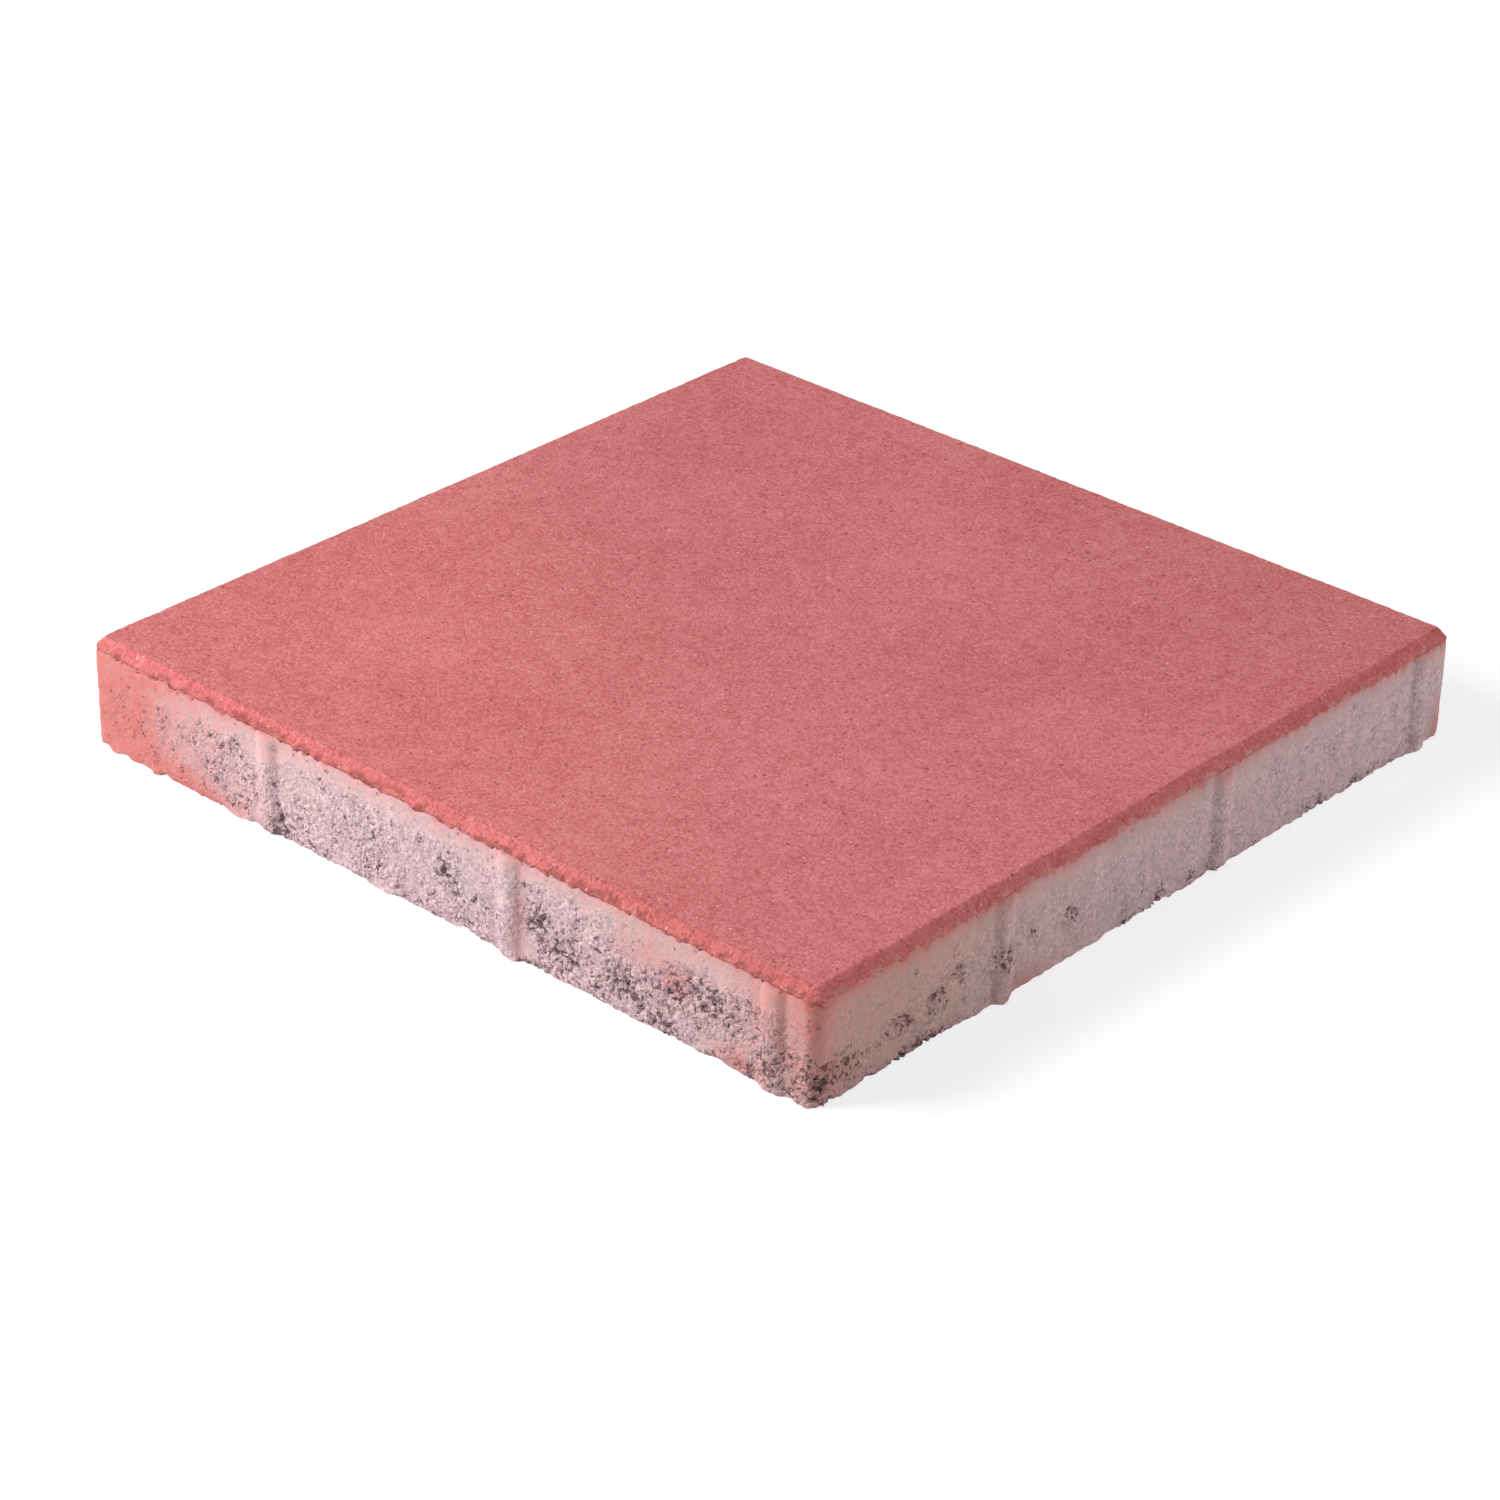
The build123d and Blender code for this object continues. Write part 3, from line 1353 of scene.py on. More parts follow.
class Nodes:
    """A short way to add and join the nodes of one tree."""

    def __init__(self, tree: bpy.types.NodeTree) -> None:
        """Empties the tree of a material, a world or a node group."""
        self.tree = tree
        tree.nodes.clear()

    def add(self, kind: str, inputs: Inputs | None = None, **settings: object) -> bpy.types.Node:
        """Adds a node.

        Args:
            kind: The node's type, without the words ShaderNode in front.
            inputs: Values, or sockets to link, by the input's name or number.
            **settings: The node's own settings.

        Returns:
            The node.
        """
        node = self.tree.nodes.new(kind if kind.startswith("Node") else "ShaderNode" + kind)
        for name, value in settings.items():
            setattr(node, name, value)
        for key, value in (inputs or {}).items():
            if isinstance(value, Socket):
                self.tree.links.new(value, node.inputs[key])
            else:
                node.inputs[key].default_value = value
        return node

    def math(self, operation: str, first: Value, second: Value, clamp: bool = False) -> Socket:
        """Reckons with two numbers, and can keep the result between 0 and 1."""
        return self.add("Math", {0: first, 1: second}, operation=operation, use_clamp=clamp).outputs[0]

    def times(self, first: Value, second: Value) -> Socket:
        """Multiplies two numbers."""
        return self.math("MULTIPLY", first, second)

    def plus(self, first: Value, second: Value, clamp: bool = False) -> Socket:
        """Adds two numbers, and can keep the sum between 0 and 1."""
        return self.math("ADD", first, second, clamp)

    def minus(self, first: Value, second: Value) -> Socket:
        """Takes the second number from the first."""
        return self.math("SUBTRACT", first, second)

    def vector(self, operation: str, first: Socket, second: Socket | tuple[float, float, float]) -> Socket:
        """Reckons with two vectors."""
        return self.add("VectorMath", {0: first, 1: second}, operation=operation).outputs[0]

    def mix(self, share: Value, first: Tint, second: Tint, blend: str = "MIX") -> Socket:
        """Lays a share of the second colour over the first."""
        inputs = {0: share, 6: first, 7: second}
        return self.add("Mix", inputs, data_type="RGBA", blend_type=blend).outputs[2]

    def spread(
        self, value: Socket, low: float, high: float, to_low: float = 0.0, to_high: float = 1.0
    ) -> Socket:
        """Turns one range of numbers into another, and stops at its ends."""
        return self.add("MapRange", {0: value, 1: low, 2: high, 3: to_low, 4: to_high}).outputs[0]

    def noise(self, place: Socket, scale: Value, detail: float = 2.0) -> Socket:
        """Gives noise from 0 to 1, with so many features to a metre and layers of finer detail."""
        return self.add("TexNoise", {"Vector": place, "Scale": scale, "Detail": detail}).outputs["Fac"]

    def warped(self, place: Socket, scale: float, reach: float) -> Socket:
        """Bends places, by bends to a metre and their reach, so that cells lose their straight edges."""
        noise = self.add("TexNoise", {"Vector": place, "Scale": scale, "Detail": 1.0}).outputs["Color"]
        return self.vector("ADD", place, self.vector("MULTIPLY", noise, (reach, reach, reach)))

    def channels(self, colour: Socket) -> Sockets:
        """Gives a colour's channels."""
        return self.add("SeparateColor", {0: colour}).outputs

    def group(self, tree: bpy.types.NodeTree, **inputs: Value) -> Sockets:
        """Places a shared group, with its own values, and gives what it puts out."""
        return self.add("Group", inputs, node_tree=tree).outputs

    def paint(self, paint: Paint) -> Socket:
        """Reads a value painted on the vertices."""
        return self.add("Attribute", attribute_name=paint.value).outputs["Fac"]

    def place(self) -> Socket:
        """Gives the place on the object, in metres."""
        return self.add("TexCoord").outputs["Object"]

    def looks_at_background(self) -> Socket:
        """Tells the rays that see the background from those that light the slab.

        Returns:
            1 for rays from the camera, off gloss or through glass, and 0 for the rest.
        """
        path = self.add("LightPath").outputs
        mirrored = self.math("MAXIMUM", path["Is Glossy Ray"], path["Is Transmission Ray"])
        return self.math("MAXIMUM", path["Is Camera Ray"], mirrored)

    def surface(self, bump: dict[str, Value], look: dict[str, object]) -> None:
        """Ends a material with a bumpy surface.

        Args:
            bump: The bump's height, distance and strength.
            look: The surface's own values.
        """
        normal = self.add("Bump", bump).outputs[0]
        shader = self.add("BsdfPrincipled", {**look, "Normal": normal})
        self.add("OutputMaterial", {"Surface": shader.outputs[0]})


class Groups:
    """Node groups for what both layers of concrete share."""

    rough_scale = 0.55  # of the sand's grains
    dome_edge = 0.75
    grain_share = 0.6  # of a grain's own tone, beside the roughness
    speck_warp = (900.0, 0.0009)  # bends to a metre, and their reach
    speck_sizes = (0.45, 1.0)
    speck_edge = (0.75, 1.1)
    cloud_layers = (("Broad", 1.0, 3.0), ("Middling", 9.0, 2.0))  # name, times the scale, detail
    cloud_range = (0.3, 0.7)

    def __init__(self) -> None:
        """Builds each group once."""
        self.sand = self._sand()
        self.specks = self._specks()
        self.clouds = self._clouds()

    @staticmethod
    def _start(name: str, values: tuple[str, ...], results: tuple[str, ...]) -> tuple[Nodes, Sockets]:
        """Starts a group that takes a place and numbers, and puts out numbers.

        Args:
            name: The group's name.
            values: The numbers that it takes.
            results: The numbers that it puts out.

        Returns:
            The group's nodes, and what it takes.
        """
        tree = bpy.data.node_groups.new(name, "ShaderNodeTree")
        tree.interface.new_socket(name="Place", in_out="INPUT", socket_type="NodeSocketVector")
        for in_out, labels in (("INPUT", values), ("OUTPUT", results)):
            for label in labels:
                tree.interface.new_socket(name=label, in_out=in_out, socket_type="NodeSocketFloat")
        nodes = Nodes(tree)
        return nodes, nodes.add("NodeGroupInput").outputs

    def _sand(self) -> bpy.types.NodeTree:
        """Builds the fine sandy grain.

        Returns:
            The group, which puts out a height for bump and a tone from grain to grain.
        """
        nodes, given = self._start("sand_grain", ("Grains",), ("Height", "Tone"))
        place, grains = given["Place"], given["Grains"]
        cells = nodes.add("TexVoronoi", {"Vector": place, "Scale": grains, "Randomness": 1.0}).outputs
        scale = nodes.times(grains, self.rough_scale)
        rough = nodes.add("TexNoise", {"Vector": place, "Scale": scale, "Detail": 2.0, "Roughness": 0.6})
        rough = rough.outputs["Fac"]
        dome = nodes.spread(cells["Distance"], 0.0, self.dome_edge, 1.0, 0.0)
        height = nodes.plus(nodes.times(dome, 0.5), nodes.times(rough, 0.5))
        own = nodes.times(nodes.channels(cells["Color"])[0], self.grain_share)
        tone = nodes.plus(own, nodes.times(rough, 1.0 - self.grain_share))
        nodes.add("NodeGroupOutput", {"Height": height, "Tone": tone})
        return nodes.tree

    def _specks(self) -> bpy.types.NodeTree:
        """Builds scattered specks.

        Returns:
            The group, which puts out a mask. A share of the cells holds one speck each.
        """
        nodes, given = self._start("specks", ("Cells", "Share", "Size"), ("Mask",))
        place = nodes.warped(given["Place"], *self.speck_warp)
        cells = nodes.add("TexVoronoi", {"Vector": place, "Scale": given["Cells"]}).outputs
        own = nodes.channels(cells["Color"])
        holds = nodes.math("LESS_THAN", own[0], given["Share"])
        reach = nodes.times(given["Size"], nodes.spread(own[1], 0.0, 1.0, *self.speck_sizes))
        near = nodes.math("DIVIDE", cells["Distance"], reach)
        mask = nodes.times(holds, nodes.spread(near, *self.speck_edge, 1.0, 0.0))
        nodes.add("NodeGroupOutput", {"Mask": mask})
        return nodes.tree

    def _clouds(self) -> bpy.types.NodeTree:
        """Builds clouds of tone.

        Returns:
            The group, which puts out broad and middling clouds.
        """
        nodes, given = self._start("clouds", ("Scale",), tuple(layer[0] for layer in self.cloud_layers))
        clouds = {}
        for label, factor, detail in self.cloud_layers:
            noise = nodes.noise(given["Place"], nodes.times(given["Scale"], factor), detail)
            clouds[label] = nodes.spread(noise, *self.cloud_range)
        nodes.add("NodeGroupOutput", clouds)
        return nodes.tree


@dataclass(frozen=True)
class Specks:
    """Scattered specks of one kind."""

    cells: float  # to a metre
    size: float  # a speck's radius, in cells

    def mask(self, nodes: Nodes, groups: Groups, place: Socket, share: Value) -> Socket:
        """Adds the specks to a material, in a share of the cells, and gives their mask."""
        return nodes.group(groups.specks, Place=place, Cells=self.cells, Share=share, Size=self.size)["Mask"]


def new_material(name: str) -> tuple[bpy.types.Material, Nodes]:
    """Makes a material with an empty node tree.

    Args:
        name: The material's name.

    Returns:
        The material and its nodes.
    """
    material = bpy.data.materials.new(name)
    material.use_nodes = True
    return material, Nodes(material.node_tree)


@dataclass(frozen=True)
class FacingFinish:
    """Red pigmented facing mortar, sandy and matt, with shade painted along its lower edge."""

    deep: Colour = linear(193, 100, 101)
    light: Colour = linear(223, 135, 135)
    dark_speck: Colour = linear(152, 68, 68)
    pale_speck: Colour = linear(244, 182, 172)
    bevel_tint: Colour = (1.01, 0.89, 0.85, 1.0)
    # Colour that the painted shade along the lower edge multiplies in
    foot_shade_tint: Colour = (0.55, 0.5, 0.48, 1.0)
    smear: Colour = linear(220, 172, 166)
    sand_grains: float = 900.0
    cloud_scale: float = 14.0
    grain_tone: float = 0.7
    cloud_tone: float = 0.15
    tone_range: Span = (0.24, 0.76)
    smear_cover: float = 0.65
    dark_specks: Specks = Specks(cells=360.0, size=0.32)
    pale_specks: Specks = Specks(cells=420.0, size=0.27)
    speck_share: float = 0.14
    dark_cover: float = 0.6
    dark_sink: float = 0.6
    pale_cover: float = 0.7
    edge_scale: float = 480.0
    edge_height: float = 2.2
    roughness: float = 0.85
    bevel_roughness: float = 0.7
    specular: float = 0.16
    grain_depth: float = 0.0005
    bump: float = 0.8

    def material(self, groups: Groups) -> bpy.types.Material:
        """Builds the finish.

        Args:
            groups: The shared node groups.

        Returns:
            The material.
        """
        material, nodes = new_material("red_facing_mortar")
        place = nodes.place()
        bevel, strip = nodes.paint(Paint.BEVEL), nodes.paint(Paint.STRIP)
        sand = nodes.group(groups.sand, Place=place, Grains=self.sand_grains)
        clouds = nodes.group(groups.clouds, Place=place, Scale=self.cloud_scale)
        dark = self.dark_specks.mask(nodes, groups, place, self.speck_share)
        pale = self.pale_specks.mask(nodes, groups, place, self.speck_share)

        tone = nodes.times(sand["Tone"], self.grain_tone)
        for cloud in ("Middling", "Broad"):
            tone = nodes.plus(tone, nodes.times(clouds[cloud], self.cloud_tone))
        colour = nodes.mix(nodes.spread(tone, *self.tone_range), self.deep, self.light)
        colour = nodes.mix(bevel, colour, self.bevel_tint, "MULTIPLY")
        # Painted shade along the facing's lower edge
        colour = nodes.mix(strip, colour, self.foot_shade_tint, "MULTIPLY")
        colour = nodes.mix(nodes.times(nodes.paint(Paint.SMEAR), self.smear_cover), colour, self.smear)
        colour = nodes.mix(nodes.times(dark, self.dark_cover), colour, self.dark_speck)
        colour = nodes.mix(nodes.times(pale, self.pale_cover), colour, self.pale_speck)

        height = nodes.minus(sand["Height"], nodes.times(dark, self.dark_sink))
        edge = nodes.times(nodes.plus(bevel, strip, clamp=True), self.edge_height)
        height = nodes.plus(height, nodes.times(nodes.noise(place, self.edge_scale), edge))
        gloss = nodes.spread(bevel, 0.0, 1.0, self.roughness, self.bevel_roughness)
        nodes.surface(
            {"Height": height, "Distance": self.grain_depth, "Strength": self.bump},
            {"Base Color": colour, "Roughness": gloss, "Specular IOR Level": self.specular},
        )
        return material


@dataclass
class BackingGround:
    """What the backing's colours and bumps are drawn from: painted values and shared effects."""

    nodes: Nodes
    place: Socket
    # Painted shade of the hollows, read from the pit paint
    pit: Socket
    rough: Socket
    open_mix: Socket
    coarse: Socket
    sand: Sockets
    grit: Sockets
    clouds: Sockets
    stones: Socket
    seams: Socket
    streaks: Socket
    bands: Socket
    pinholes: Socket


@dataclass(frozen=True)
class BackingFinish:
    """Pale backing concrete, with smooth paste, open grains, pits and red stains, and shade painted into its
    pits, pinholes and crevices.
    """

    paste: Colour = linear(226, 188, 187)
    body: Colour = linear(217, 184, 183)
    mauve: Colour = linear(205, 178, 183)
    grain_dark: Colour = linear(195, 166, 171)
    grain_pale: Colour = linear(242, 216, 218)
    stone_mauve: Colour = linear(188, 160, 178)
    stone_pink: Colour = linear(224, 164, 164)
    # Colour of the shade painted into pits and hollows
    pit: Colour = linear(96, 66, 67)
    stain: Colour = linear(213, 122, 115)
    warm_tint: Colour = (0.96, 0.89, 0.8, 1.0)
    # Colour of the shade painted into crevices
    crevice: Colour = linear(72, 47, 47)

    # Features to a metre, their bends and where they show
    sand_grains: float = 820.0
    grit_grains: float = 540.0
    cloud_scale: float = 18.0
    stone_cells: float = 300.0
    stone_warp: tuple[float, float] = (700.0, 0.002)  # bends to a metre, and their reach
    streak_scale: float = 420.0
    band_scale: float = 130.0
    break_scale: float = 380.0
    stretch: tuple[float, float, float] = (1.0, 1.0, 0.06)  # draws streaks out upwards
    pinholes: Specks = Specks(cells=380.0, size=0.33)
    pinhole_share: Span = (0.17, 0.36)  # in close and in open mix
    coarse_range: Span = (0.15, 1.0)

    # Shares of the colours
    tone_range: Span = (0.2, 0.8)
    grain_share: Span = (0.2, 0.8)  # on smooth and on rough places
    stone_kinds: Span = (0.3, 0.5)
    stone_share: Span = (0.45, 0.15)
    paste_share: Span = (0.45, 0.9)
    streak_range: Span = (0.6, 1.4)
    streak_shade: Span = (0.95, 1.05)
    cloud_shade: Span = (0.94, 1.05)
    tone_shade: Span = (0.88, 1.09)
    stain_grain: float = 0.2
    stain_cloud: float = 0.15
    stain_start: float = 0.2
    stain_range: Span = (0.05, 1.05)
    stain_cover: float = 0.95
    # How the hollows and crevices are found, and how much shade is painted into them
    between_range: Span = (0.25, 0.75)
    between_grains: float = 0.3
    pit_start: float = 0.3
    pit_range: Span = (0.28, 0.95)
    pinhole_open: float = 0.8
    pinhole_shade: Span = (0.46, 0.6)
    gap_range: Span = (0.38, 0.2)
    gap_shade: float = 0.26
    pit_shade_cover: float = 0.55
    rough_breaks: float = 0.04
    open_breaks: float = 0.12
    break_range: Span = (0.58, 0.72)
    break_width: float = 0.22
    crevice_range: Span = (-0.11, -0.04)
    crevice_shade_cover: float = 0.7

    # Heights of the bump
    rough_full: float = 0.8
    sand_height: Span = (0.25, 1.0)  # on smooth and on rough places
    pinhole_sink: float = 0.7
    grit_height: float = 1.2
    dome_edge: float = 0.4
    dome_height: float = 0.9
    streak_height: float = 0.12
    roughness: float = 0.93
    specular: float = 0.2
    grain_depth: float = 0.0007
    bump: float = 0.85

    def material(self, groups: Groups) -> bpy.types.Material:
        """Builds the finish.

        Args:
            groups: The shared node groups.

        Returns:
            The material.
        """
        material, nodes = new_material("pale_backing_concrete")
        ground = self._ground(nodes, groups)
        colour = self._stained(ground, self._shaded(ground, self._concrete(ground)))
        crevice = self._crevices(ground)
        # Painted shade: the hollows and crevices are darkened in the colour
        colour = nodes.mix(nodes.times(self._hollow_shade(ground), self.pit_shade_cover), colour, self.pit)
        colour = nodes.mix(nodes.times(crevice, self.crevice_shade_cover), colour, self.crevice)
        height = self._height(ground, crevice)
        nodes.surface(
            {"Height": height, "Distance": self.grain_depth, "Strength": self.bump},
            {"Base Color": colour, "Roughness": self.roughness, "Specular IOR Level": self.specular},
        )
        return material

    def _ground(self, nodes: Nodes, groups: Groups) -> BackingGround:
        """Reads the painted values and places the shared effects.

        Args:
            nodes: The material's nodes.
            groups: The shared node groups.

        Returns:
            What the rest of the finish is drawn from.
        """
        place = nodes.place()
        rough, open_mix = nodes.paint(Paint.ROUGH), nodes.paint(Paint.OPEN)
        cells = {"Vector": nodes.warped(place, *self.stone_warp), "Scale": self.stone_cells}
        upright = nodes.vector("MULTIPLY", place, self.stretch)
        share = nodes.spread(open_mix, 0.0, 1.0, *self.pinhole_share)
        return BackingGround(
            nodes=nodes,
            place=place,
            pit=nodes.paint(Paint.PIT),
            rough=rough,
            open_mix=open_mix,
            coarse=nodes.spread(nodes.plus(rough, open_mix), *self.coarse_range),
            sand=nodes.group(groups.sand, Place=place, Grains=self.sand_grains),
            grit=nodes.group(groups.sand, Place=place, Grains=self.grit_grains),
            clouds=nodes.group(groups.clouds, Place=place, Scale=self.cloud_scale),
            stones=nodes.add("TexVoronoi", cells).outputs["Color"],
            seams=nodes.add("TexVoronoi", cells, feature="DISTANCE_TO_EDGE").outputs["Distance"],
            streaks=nodes.noise(upright, self.streak_scale),
            bands=nodes.noise(upright, self.band_scale),
            pinholes=self.pinholes.mask(nodes, groups, place, share),
        )

    def _concrete(self, ground: BackingGround) -> Socket:
        """Mixes clouds, grains and stones, and lays smooth paste over them.

        Args:
            ground: What the colour is drawn from.

        Returns:
            The colour.
        """
        nodes, rough = ground.nodes, ground.rough
        body = nodes.mix(ground.clouds["Broad"], self.body, self.mauve)
        tone = nodes.spread(ground.sand["Tone"], *self.tone_range)
        grains = nodes.mix(tone, self.grain_dark, self.grain_pale)
        body = nodes.mix(nodes.spread(rough, 0.0, 1.0, *self.grain_share), body, grains)
        kind = nodes.channels(ground.stones)[0]
        share = nodes.times(rough, nodes.spread(kind, *self.stone_kinds, *self.stone_share))
        body = nodes.mix(share, body, nodes.mix(kind, self.stone_mauve, self.stone_pink))
        thick = nodes.spread(ground.clouds["Middling"], 0.0, 1.0, *self.paste_share)
        return nodes.mix(nodes.times(nodes.paint(Paint.PASTE), thick), body, self.paste)

    def _shaded(self, ground: BackingGround, colour: Socket) -> Socket:
        """Shades the colour by streaks, clouds and grains.

        Args:
            ground: What the shade is drawn from.
            colour: The colour so far.

        Returns:
            The shaded colour.
        """
        nodes = ground.nodes
        shade = nodes.spread(nodes.plus(ground.streaks, ground.bands), *self.streak_range, *self.streak_shade)
        shade = nodes.times(shade, nodes.spread(ground.clouds["Middling"], 0.0, 1.0, *self.cloud_shade))
        shade = nodes.times(shade, nodes.spread(ground.sand["Tone"], *self.tone_range, *self.tone_shade))
        shading = nodes.add("CombineColor", {0: shade, 1: shade, 2: shade}).outputs[0]
        return nodes.mix(1.0, colour, shading, "MULTIPLY")

    def _stained(self, ground: BackingGround, colour: Socket) -> Socket:
        """Lays red stains over the colour, and the tint of the warm places.

        Args:
            ground: What the stains' edges are drawn from.
            colour: The colour so far.

        Returns:
            The stained colour.
        """
        nodes, stain = ground.nodes, ground.nodes.paint(Paint.STAIN)
        grain = nodes.spread(ground.sand["Tone"], *self.tone_range, -self.stain_grain, self.stain_grain)
        cloud = nodes.spread(ground.clouds["Middling"], 0.0, 1.0, -self.stain_cloud, self.stain_cloud)
        uneven = nodes.times(nodes.plus(grain, cloud), nodes.spread(stain, 0.0, self.stain_start))
        red = nodes.spread(nodes.plus(stain, uneven), *self.stain_range)
        colour = nodes.mix(nodes.times(red, self.stain_cover), colour, self.stain)
        return nodes.mix(nodes.paint(Paint.WARM), colour, self.warm_tint, "MULTIPLY")

    def _hollow_shade(self, ground: BackingGround) -> Socket:
        """Works out the shade painted into the hollows: pits, pinholes and gaps between coarse grains.

        Args:
            ground: What the hollows are drawn from.

        Returns:
            How much painted shade each place gets, from 0 to 1.
        """
        nodes, pit = ground.nodes, ground.pit
        between = nodes.spread(
            ground.sand["Height"], *self.between_range, self.between_grains, -self.between_grains
        )
        ragged = nodes.plus(pit, nodes.times(between, nodes.spread(pit, 0.0, self.pit_start)))
        dark = nodes.spread(ground.open_mix, 0.0, self.pinhole_open, *self.pinhole_shade)
        hollow = nodes.plus(nodes.spread(ragged, *self.pit_range), nodes.times(ground.pinholes, dark))
        gaps = nodes.times(nodes.spread(ground.grit["Height"], *self.gap_range), ground.coarse)
        return nodes.plus(hollow, nodes.times(gaps, self.gap_shade), clamp=True)

    def _crevices(self, ground: BackingGround) -> Socket:
        """Opens crevices between stones, where the mix is coarse.

        Args:
            ground: What the crevices are drawn from.

        Returns:
            The crevices' mask, which sinks the bump and is also painted into the colour as shade.
        """
        nodes = ground.nodes
        breaks = nodes.noise(ground.place, self.break_scale, detail=1.0)
        loose = nodes.plus(
            nodes.times(ground.rough, self.rough_breaks), nodes.times(ground.open_mix, self.open_breaks)
        )
        broken = nodes.times(nodes.spread(nodes.plus(breaks, loose), *self.break_range), ground.coarse)
        inside = nodes.minus(ground.seams, nodes.times(broken, self.break_width))
        return nodes.spread(inside, *self.crevice_range, 1.0, 0.0)

    def _height(self, ground: BackingGround, crevice: Socket) -> Socket:
        """Adds up the bump: sand, pinholes, grit, stones, crevices and streaks.

        Args:
            ground: What the bump is drawn from.
            crevice: The crevices' mask.

        Returns:
            The height.
        """
        nodes, coarse = ground.nodes, ground.coarse
        rough = nodes.spread(ground.rough, 0.0, self.rough_full, *self.sand_height)
        height = nodes.times(ground.sand["Height"], rough)
        height = nodes.minus(height, nodes.times(ground.pinholes, self.pinhole_sink))
        height = nodes.plus(height, nodes.times(ground.grit["Height"], nodes.times(coarse, self.grit_height)))
        dome = nodes.spread(ground.seams, 0.0, self.dome_edge)
        height = nodes.plus(height, nodes.times(dome, nodes.times(coarse, self.dome_height)))
        return nodes.plus(nodes.minus(height, crevice), nodes.times(ground.streaks, self.streak_height))


@dataclass(frozen=True)
class PhotoCamera:
    """A long lens at the photograph's viewing angle, in degrees, metres and millimetres of lens."""

    azimuth: float = 41.70
    elevation: float = 29.12
    roll: float = 1.18
    distance: float = 1.889
    lens: float = 108.9
    sight: float = 100.0
    aim_right: float = -0.0100
    aim_up: float = -0.0054

    def axes(self) -> tuple[Vector, Vector, Vector]:
        """Works out how the camera stands.

        Returns:
            Its right, its up and the way back from what it looks at.
        """
        turn, rise, roll = (math.radians(angle) for angle in (self.azimuth, self.elevation, self.roll))
        back = Vector((math.sin(turn) * math.cos(rise), -math.cos(turn) * math.cos(rise), math.sin(rise)))
        level = Vector((math.cos(turn), math.sin(turn), 0.0))
        over = back.cross(level)
        right = level * math.cos(roll) + over * math.sin(roll)
        return right, over * math.cos(roll) - level * math.sin(roll), back

    def build(self) -> bpy.types.Object:
        """Makes the camera and gives it to the scene.

        Returns:
            The camera.
        """
        right, up, back = self.axes()
        data = bpy.data.cameras.new("photo_camera")
        data.lens = self.lens
        data.clip_end = self.sight
        camera = placed("photo_camera", data)
        place = back * self.distance + right * self.aim_right + up * self.aim_up
        camera.matrix_world = Matrix.Translation(place) @ Matrix((right, up, back)).transposed().to_4x4()
        bpy.context.scene.camera = camera
        return camera


@dataclass(frozen=True)
class SoftBox:
    """A large soft lamp, placed by its turn from the camera's right and its height, aimed at the slab."""

    name: str
    turn: float
    rise: float
    distance: float
    size: float
    level: float

    def build(self, camera: PhotoCamera) -> bpy.types.Object:
        """Makes the lamp.

        Args:
            camera: The camera that the lamp stands beside.

        Returns:
            The lamp, which lights a white card that faces it to its level, where 1 is white.
        """
        angle, rise = math.radians(camera.azimuth + self.turn), math.radians(self.rise)
        towards = Vector((math.cos(angle) * math.cos(rise), math.sin(angle) * math.cos(rise), math.sin(rise)))
        data = bpy.data.lights.new(self.name, "AREA")
        data.shape = "SQUARE"
        data.size = self.size
        data.energy = self.level * (math.pi * self.distance) ** 2
        lamp = placed(self.name, data)
        lamp.location = towards * self.distance
        lamp.rotation_mode = "QUATERNION"
        lamp.rotation_quaternion = (-towards).to_track_quat("-Z", "Y")
        return lamp


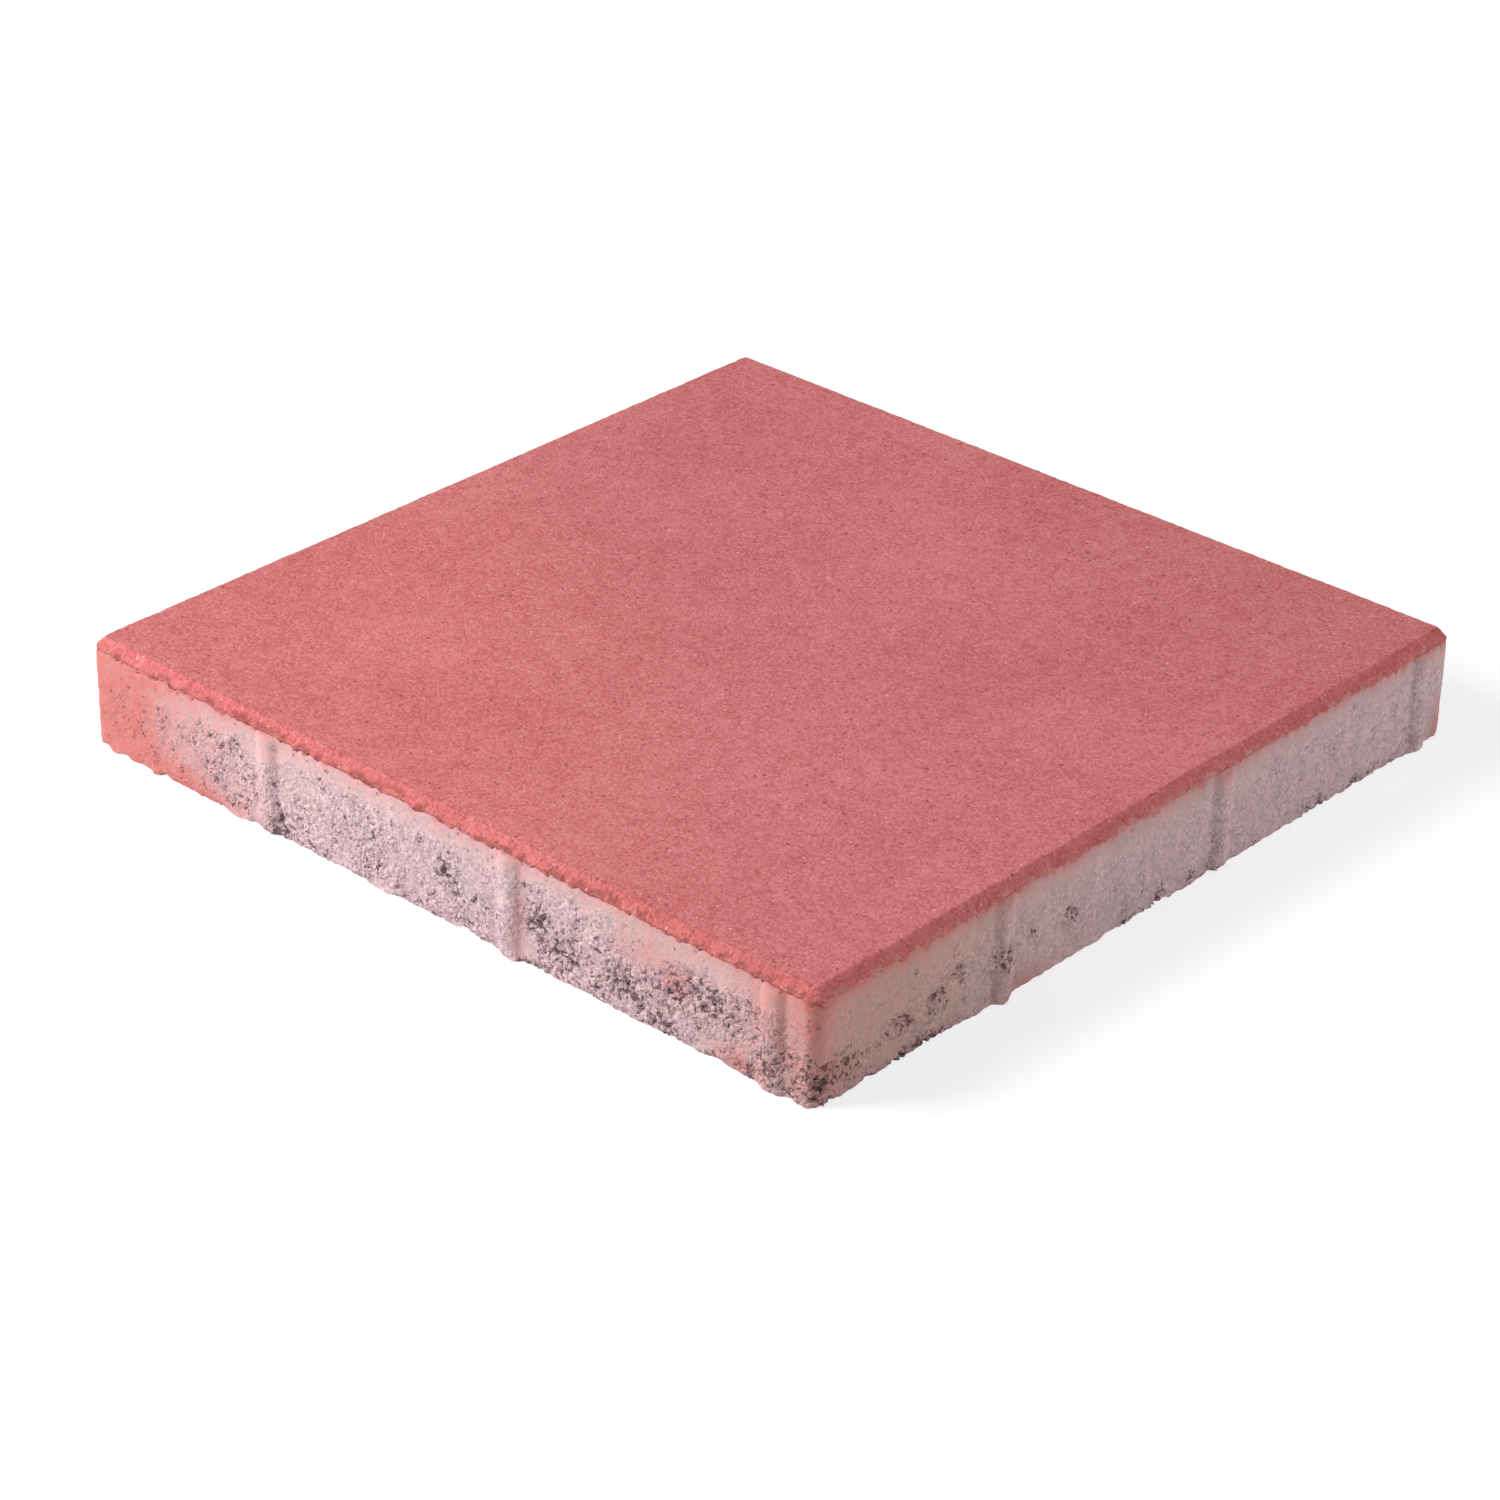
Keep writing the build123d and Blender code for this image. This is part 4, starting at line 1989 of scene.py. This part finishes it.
@dataclass(frozen=True)
class Studio:
    """A pale floor, a dim white dome and two lamps, one on each side of the camera."""

    camera: PhotoCamera = PhotoCamera()
    key: SoftBox = SoftBox("key_lamp", turn=190.0, rise=39.0, distance=2.0, size=0.8, level=0.995)
    fill: SoftBox = SoftBox("fill_lamp", turn=-6.0, rise=23.0, distance=2.2, size=0.9, level=0.3)
    dome: float = 0.22
    dome_below: float = 0.8
    floor_half: float = 20.0
    floor_gap: float = 0.1967
    floor_colour: float = 0.8
    floor_glow: float = 0.71
    floor_shadow: float = 0.4
    floor_near: float = 0.35
    floor_far: float = 0.9

    def build(self) -> None:
        """Sets up the camera, the lights and the floor."""
        self.camera.build()
        for lamp in (self.key, self.fill):
            lamp.build(self.camera)
        self._dome()
        self._floor()
        bpy.context.scene.view_settings.view_transform = "Standard"

    def _dome(self) -> None:
        """Makes a white dome that lights the slab dimly, and its underside through the open floor."""
        world = bpy.data.worlds.new("white_dome")
        bpy.context.scene.world = world
        world.use_nodes = True
        nodes = Nodes(world.node_tree)
        direction = nodes.add("TexCoord").outputs["Generated"]
        height = nodes.add("SeparateXYZ", {0: direction}).outputs[2]
        level = nodes.spread(nodes.math("LESS_THAN", height, 0.0), 0.0, 1.0, self.dome, self.dome_below)
        strength = nodes.math("MAXIMUM", nodes.looks_at_background(), level)
        shader = nodes.add("Background", {"Color": grey(1.0), "Strength": strength})
        nodes.add("OutputWorld", {"Surface": shader.outputs[0]})

    def _floor(self) -> None:
        """Makes a pale floor that keeps the slab's shadow, is clear from below and open under the slab."""
        mesh = bpy.data.meshes.new("floor")
        corners = [
            (x * half, y * half, 0.0)
            for half in (self.floor_half, self.floor_gap)
            for x, y in ((-1, -1), (1, -1), (1, 1), (-1, 1))
        ]
        mesh.from_pydata(corners, [], [(at, (at + 1) % 4, (at + 1) % 4 + 4, at + 4) for at in range(4)])
        material, nodes = new_material("pale_floor")
        matt = nodes.add("BsdfDiffuse", {"Color": grey(self.floor_colour)}).outputs[0]
        faint = nodes.add("BsdfDiffuse", {"Color": grey(self.floor_shadow)}).outputs[0]
        glow = nodes.add("Emission", {"Strength": self.floor_glow}).outputs[0]
        shaded = nodes.add("AddShader", {0: faint, 1: glow}).outputs[0]
        white = nodes.add("Emission", {"Strength": 1.0}).outputs[0]
        away = nodes.add("VectorMath", {0: nodes.place()}, operation="LENGTH").outputs["Value"]
        far = nodes.spread(away, self.floor_near, self.floor_far)
        seen = nodes.add("MixShader", {0: far, 1: shaded, 2: white}).outputs[0]
        top = nodes.add("MixShader", {0: nodes.looks_at_background(), 1: matt, 2: seen}).outputs[0]
        below = nodes.add("NewGeometry").outputs["Backfacing"]
        clear = nodes.add("BsdfTransparent").outputs[0]
        shader = nodes.add("MixShader", {0: below, 1: top, 2: clear}).outputs[0]
        nodes.add("OutputMaterial", {"Surface": shader})
        mesh.materials.append(material)
        floor = placed("floor", mesh)


def main() -> None:
    """Loads the frame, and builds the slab's two layers and the studio."""
    logging.basicConfig(level=logging.INFO, format="%(name)s: %(message)s")
    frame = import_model()
    LOG.info("the frame holds %s", ", ".join(sorted(frame["nodes"])))
    sizes = SlabSizes.from_frame()
    outline = Outline(sizes, step=1.0)
    line = FacingLine(outline)
    joint = LayerJoint(outline)
    groups = Groups()
    pieces = [
        FacingLayer(outline, line, joint).build(FacingFinish().material(groups)),
        BackingConcrete(outline, line, joint).build(BackingFinish().material(groups)),
    ]
    for piece in pieces:
        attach(piece, BODY)
        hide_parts(NODE)
        LOG.info("%s rides on %s and stands for %s", piece.name, BODY, NODE)
    Studio().build()


if __name__ == "__main__":
    main()
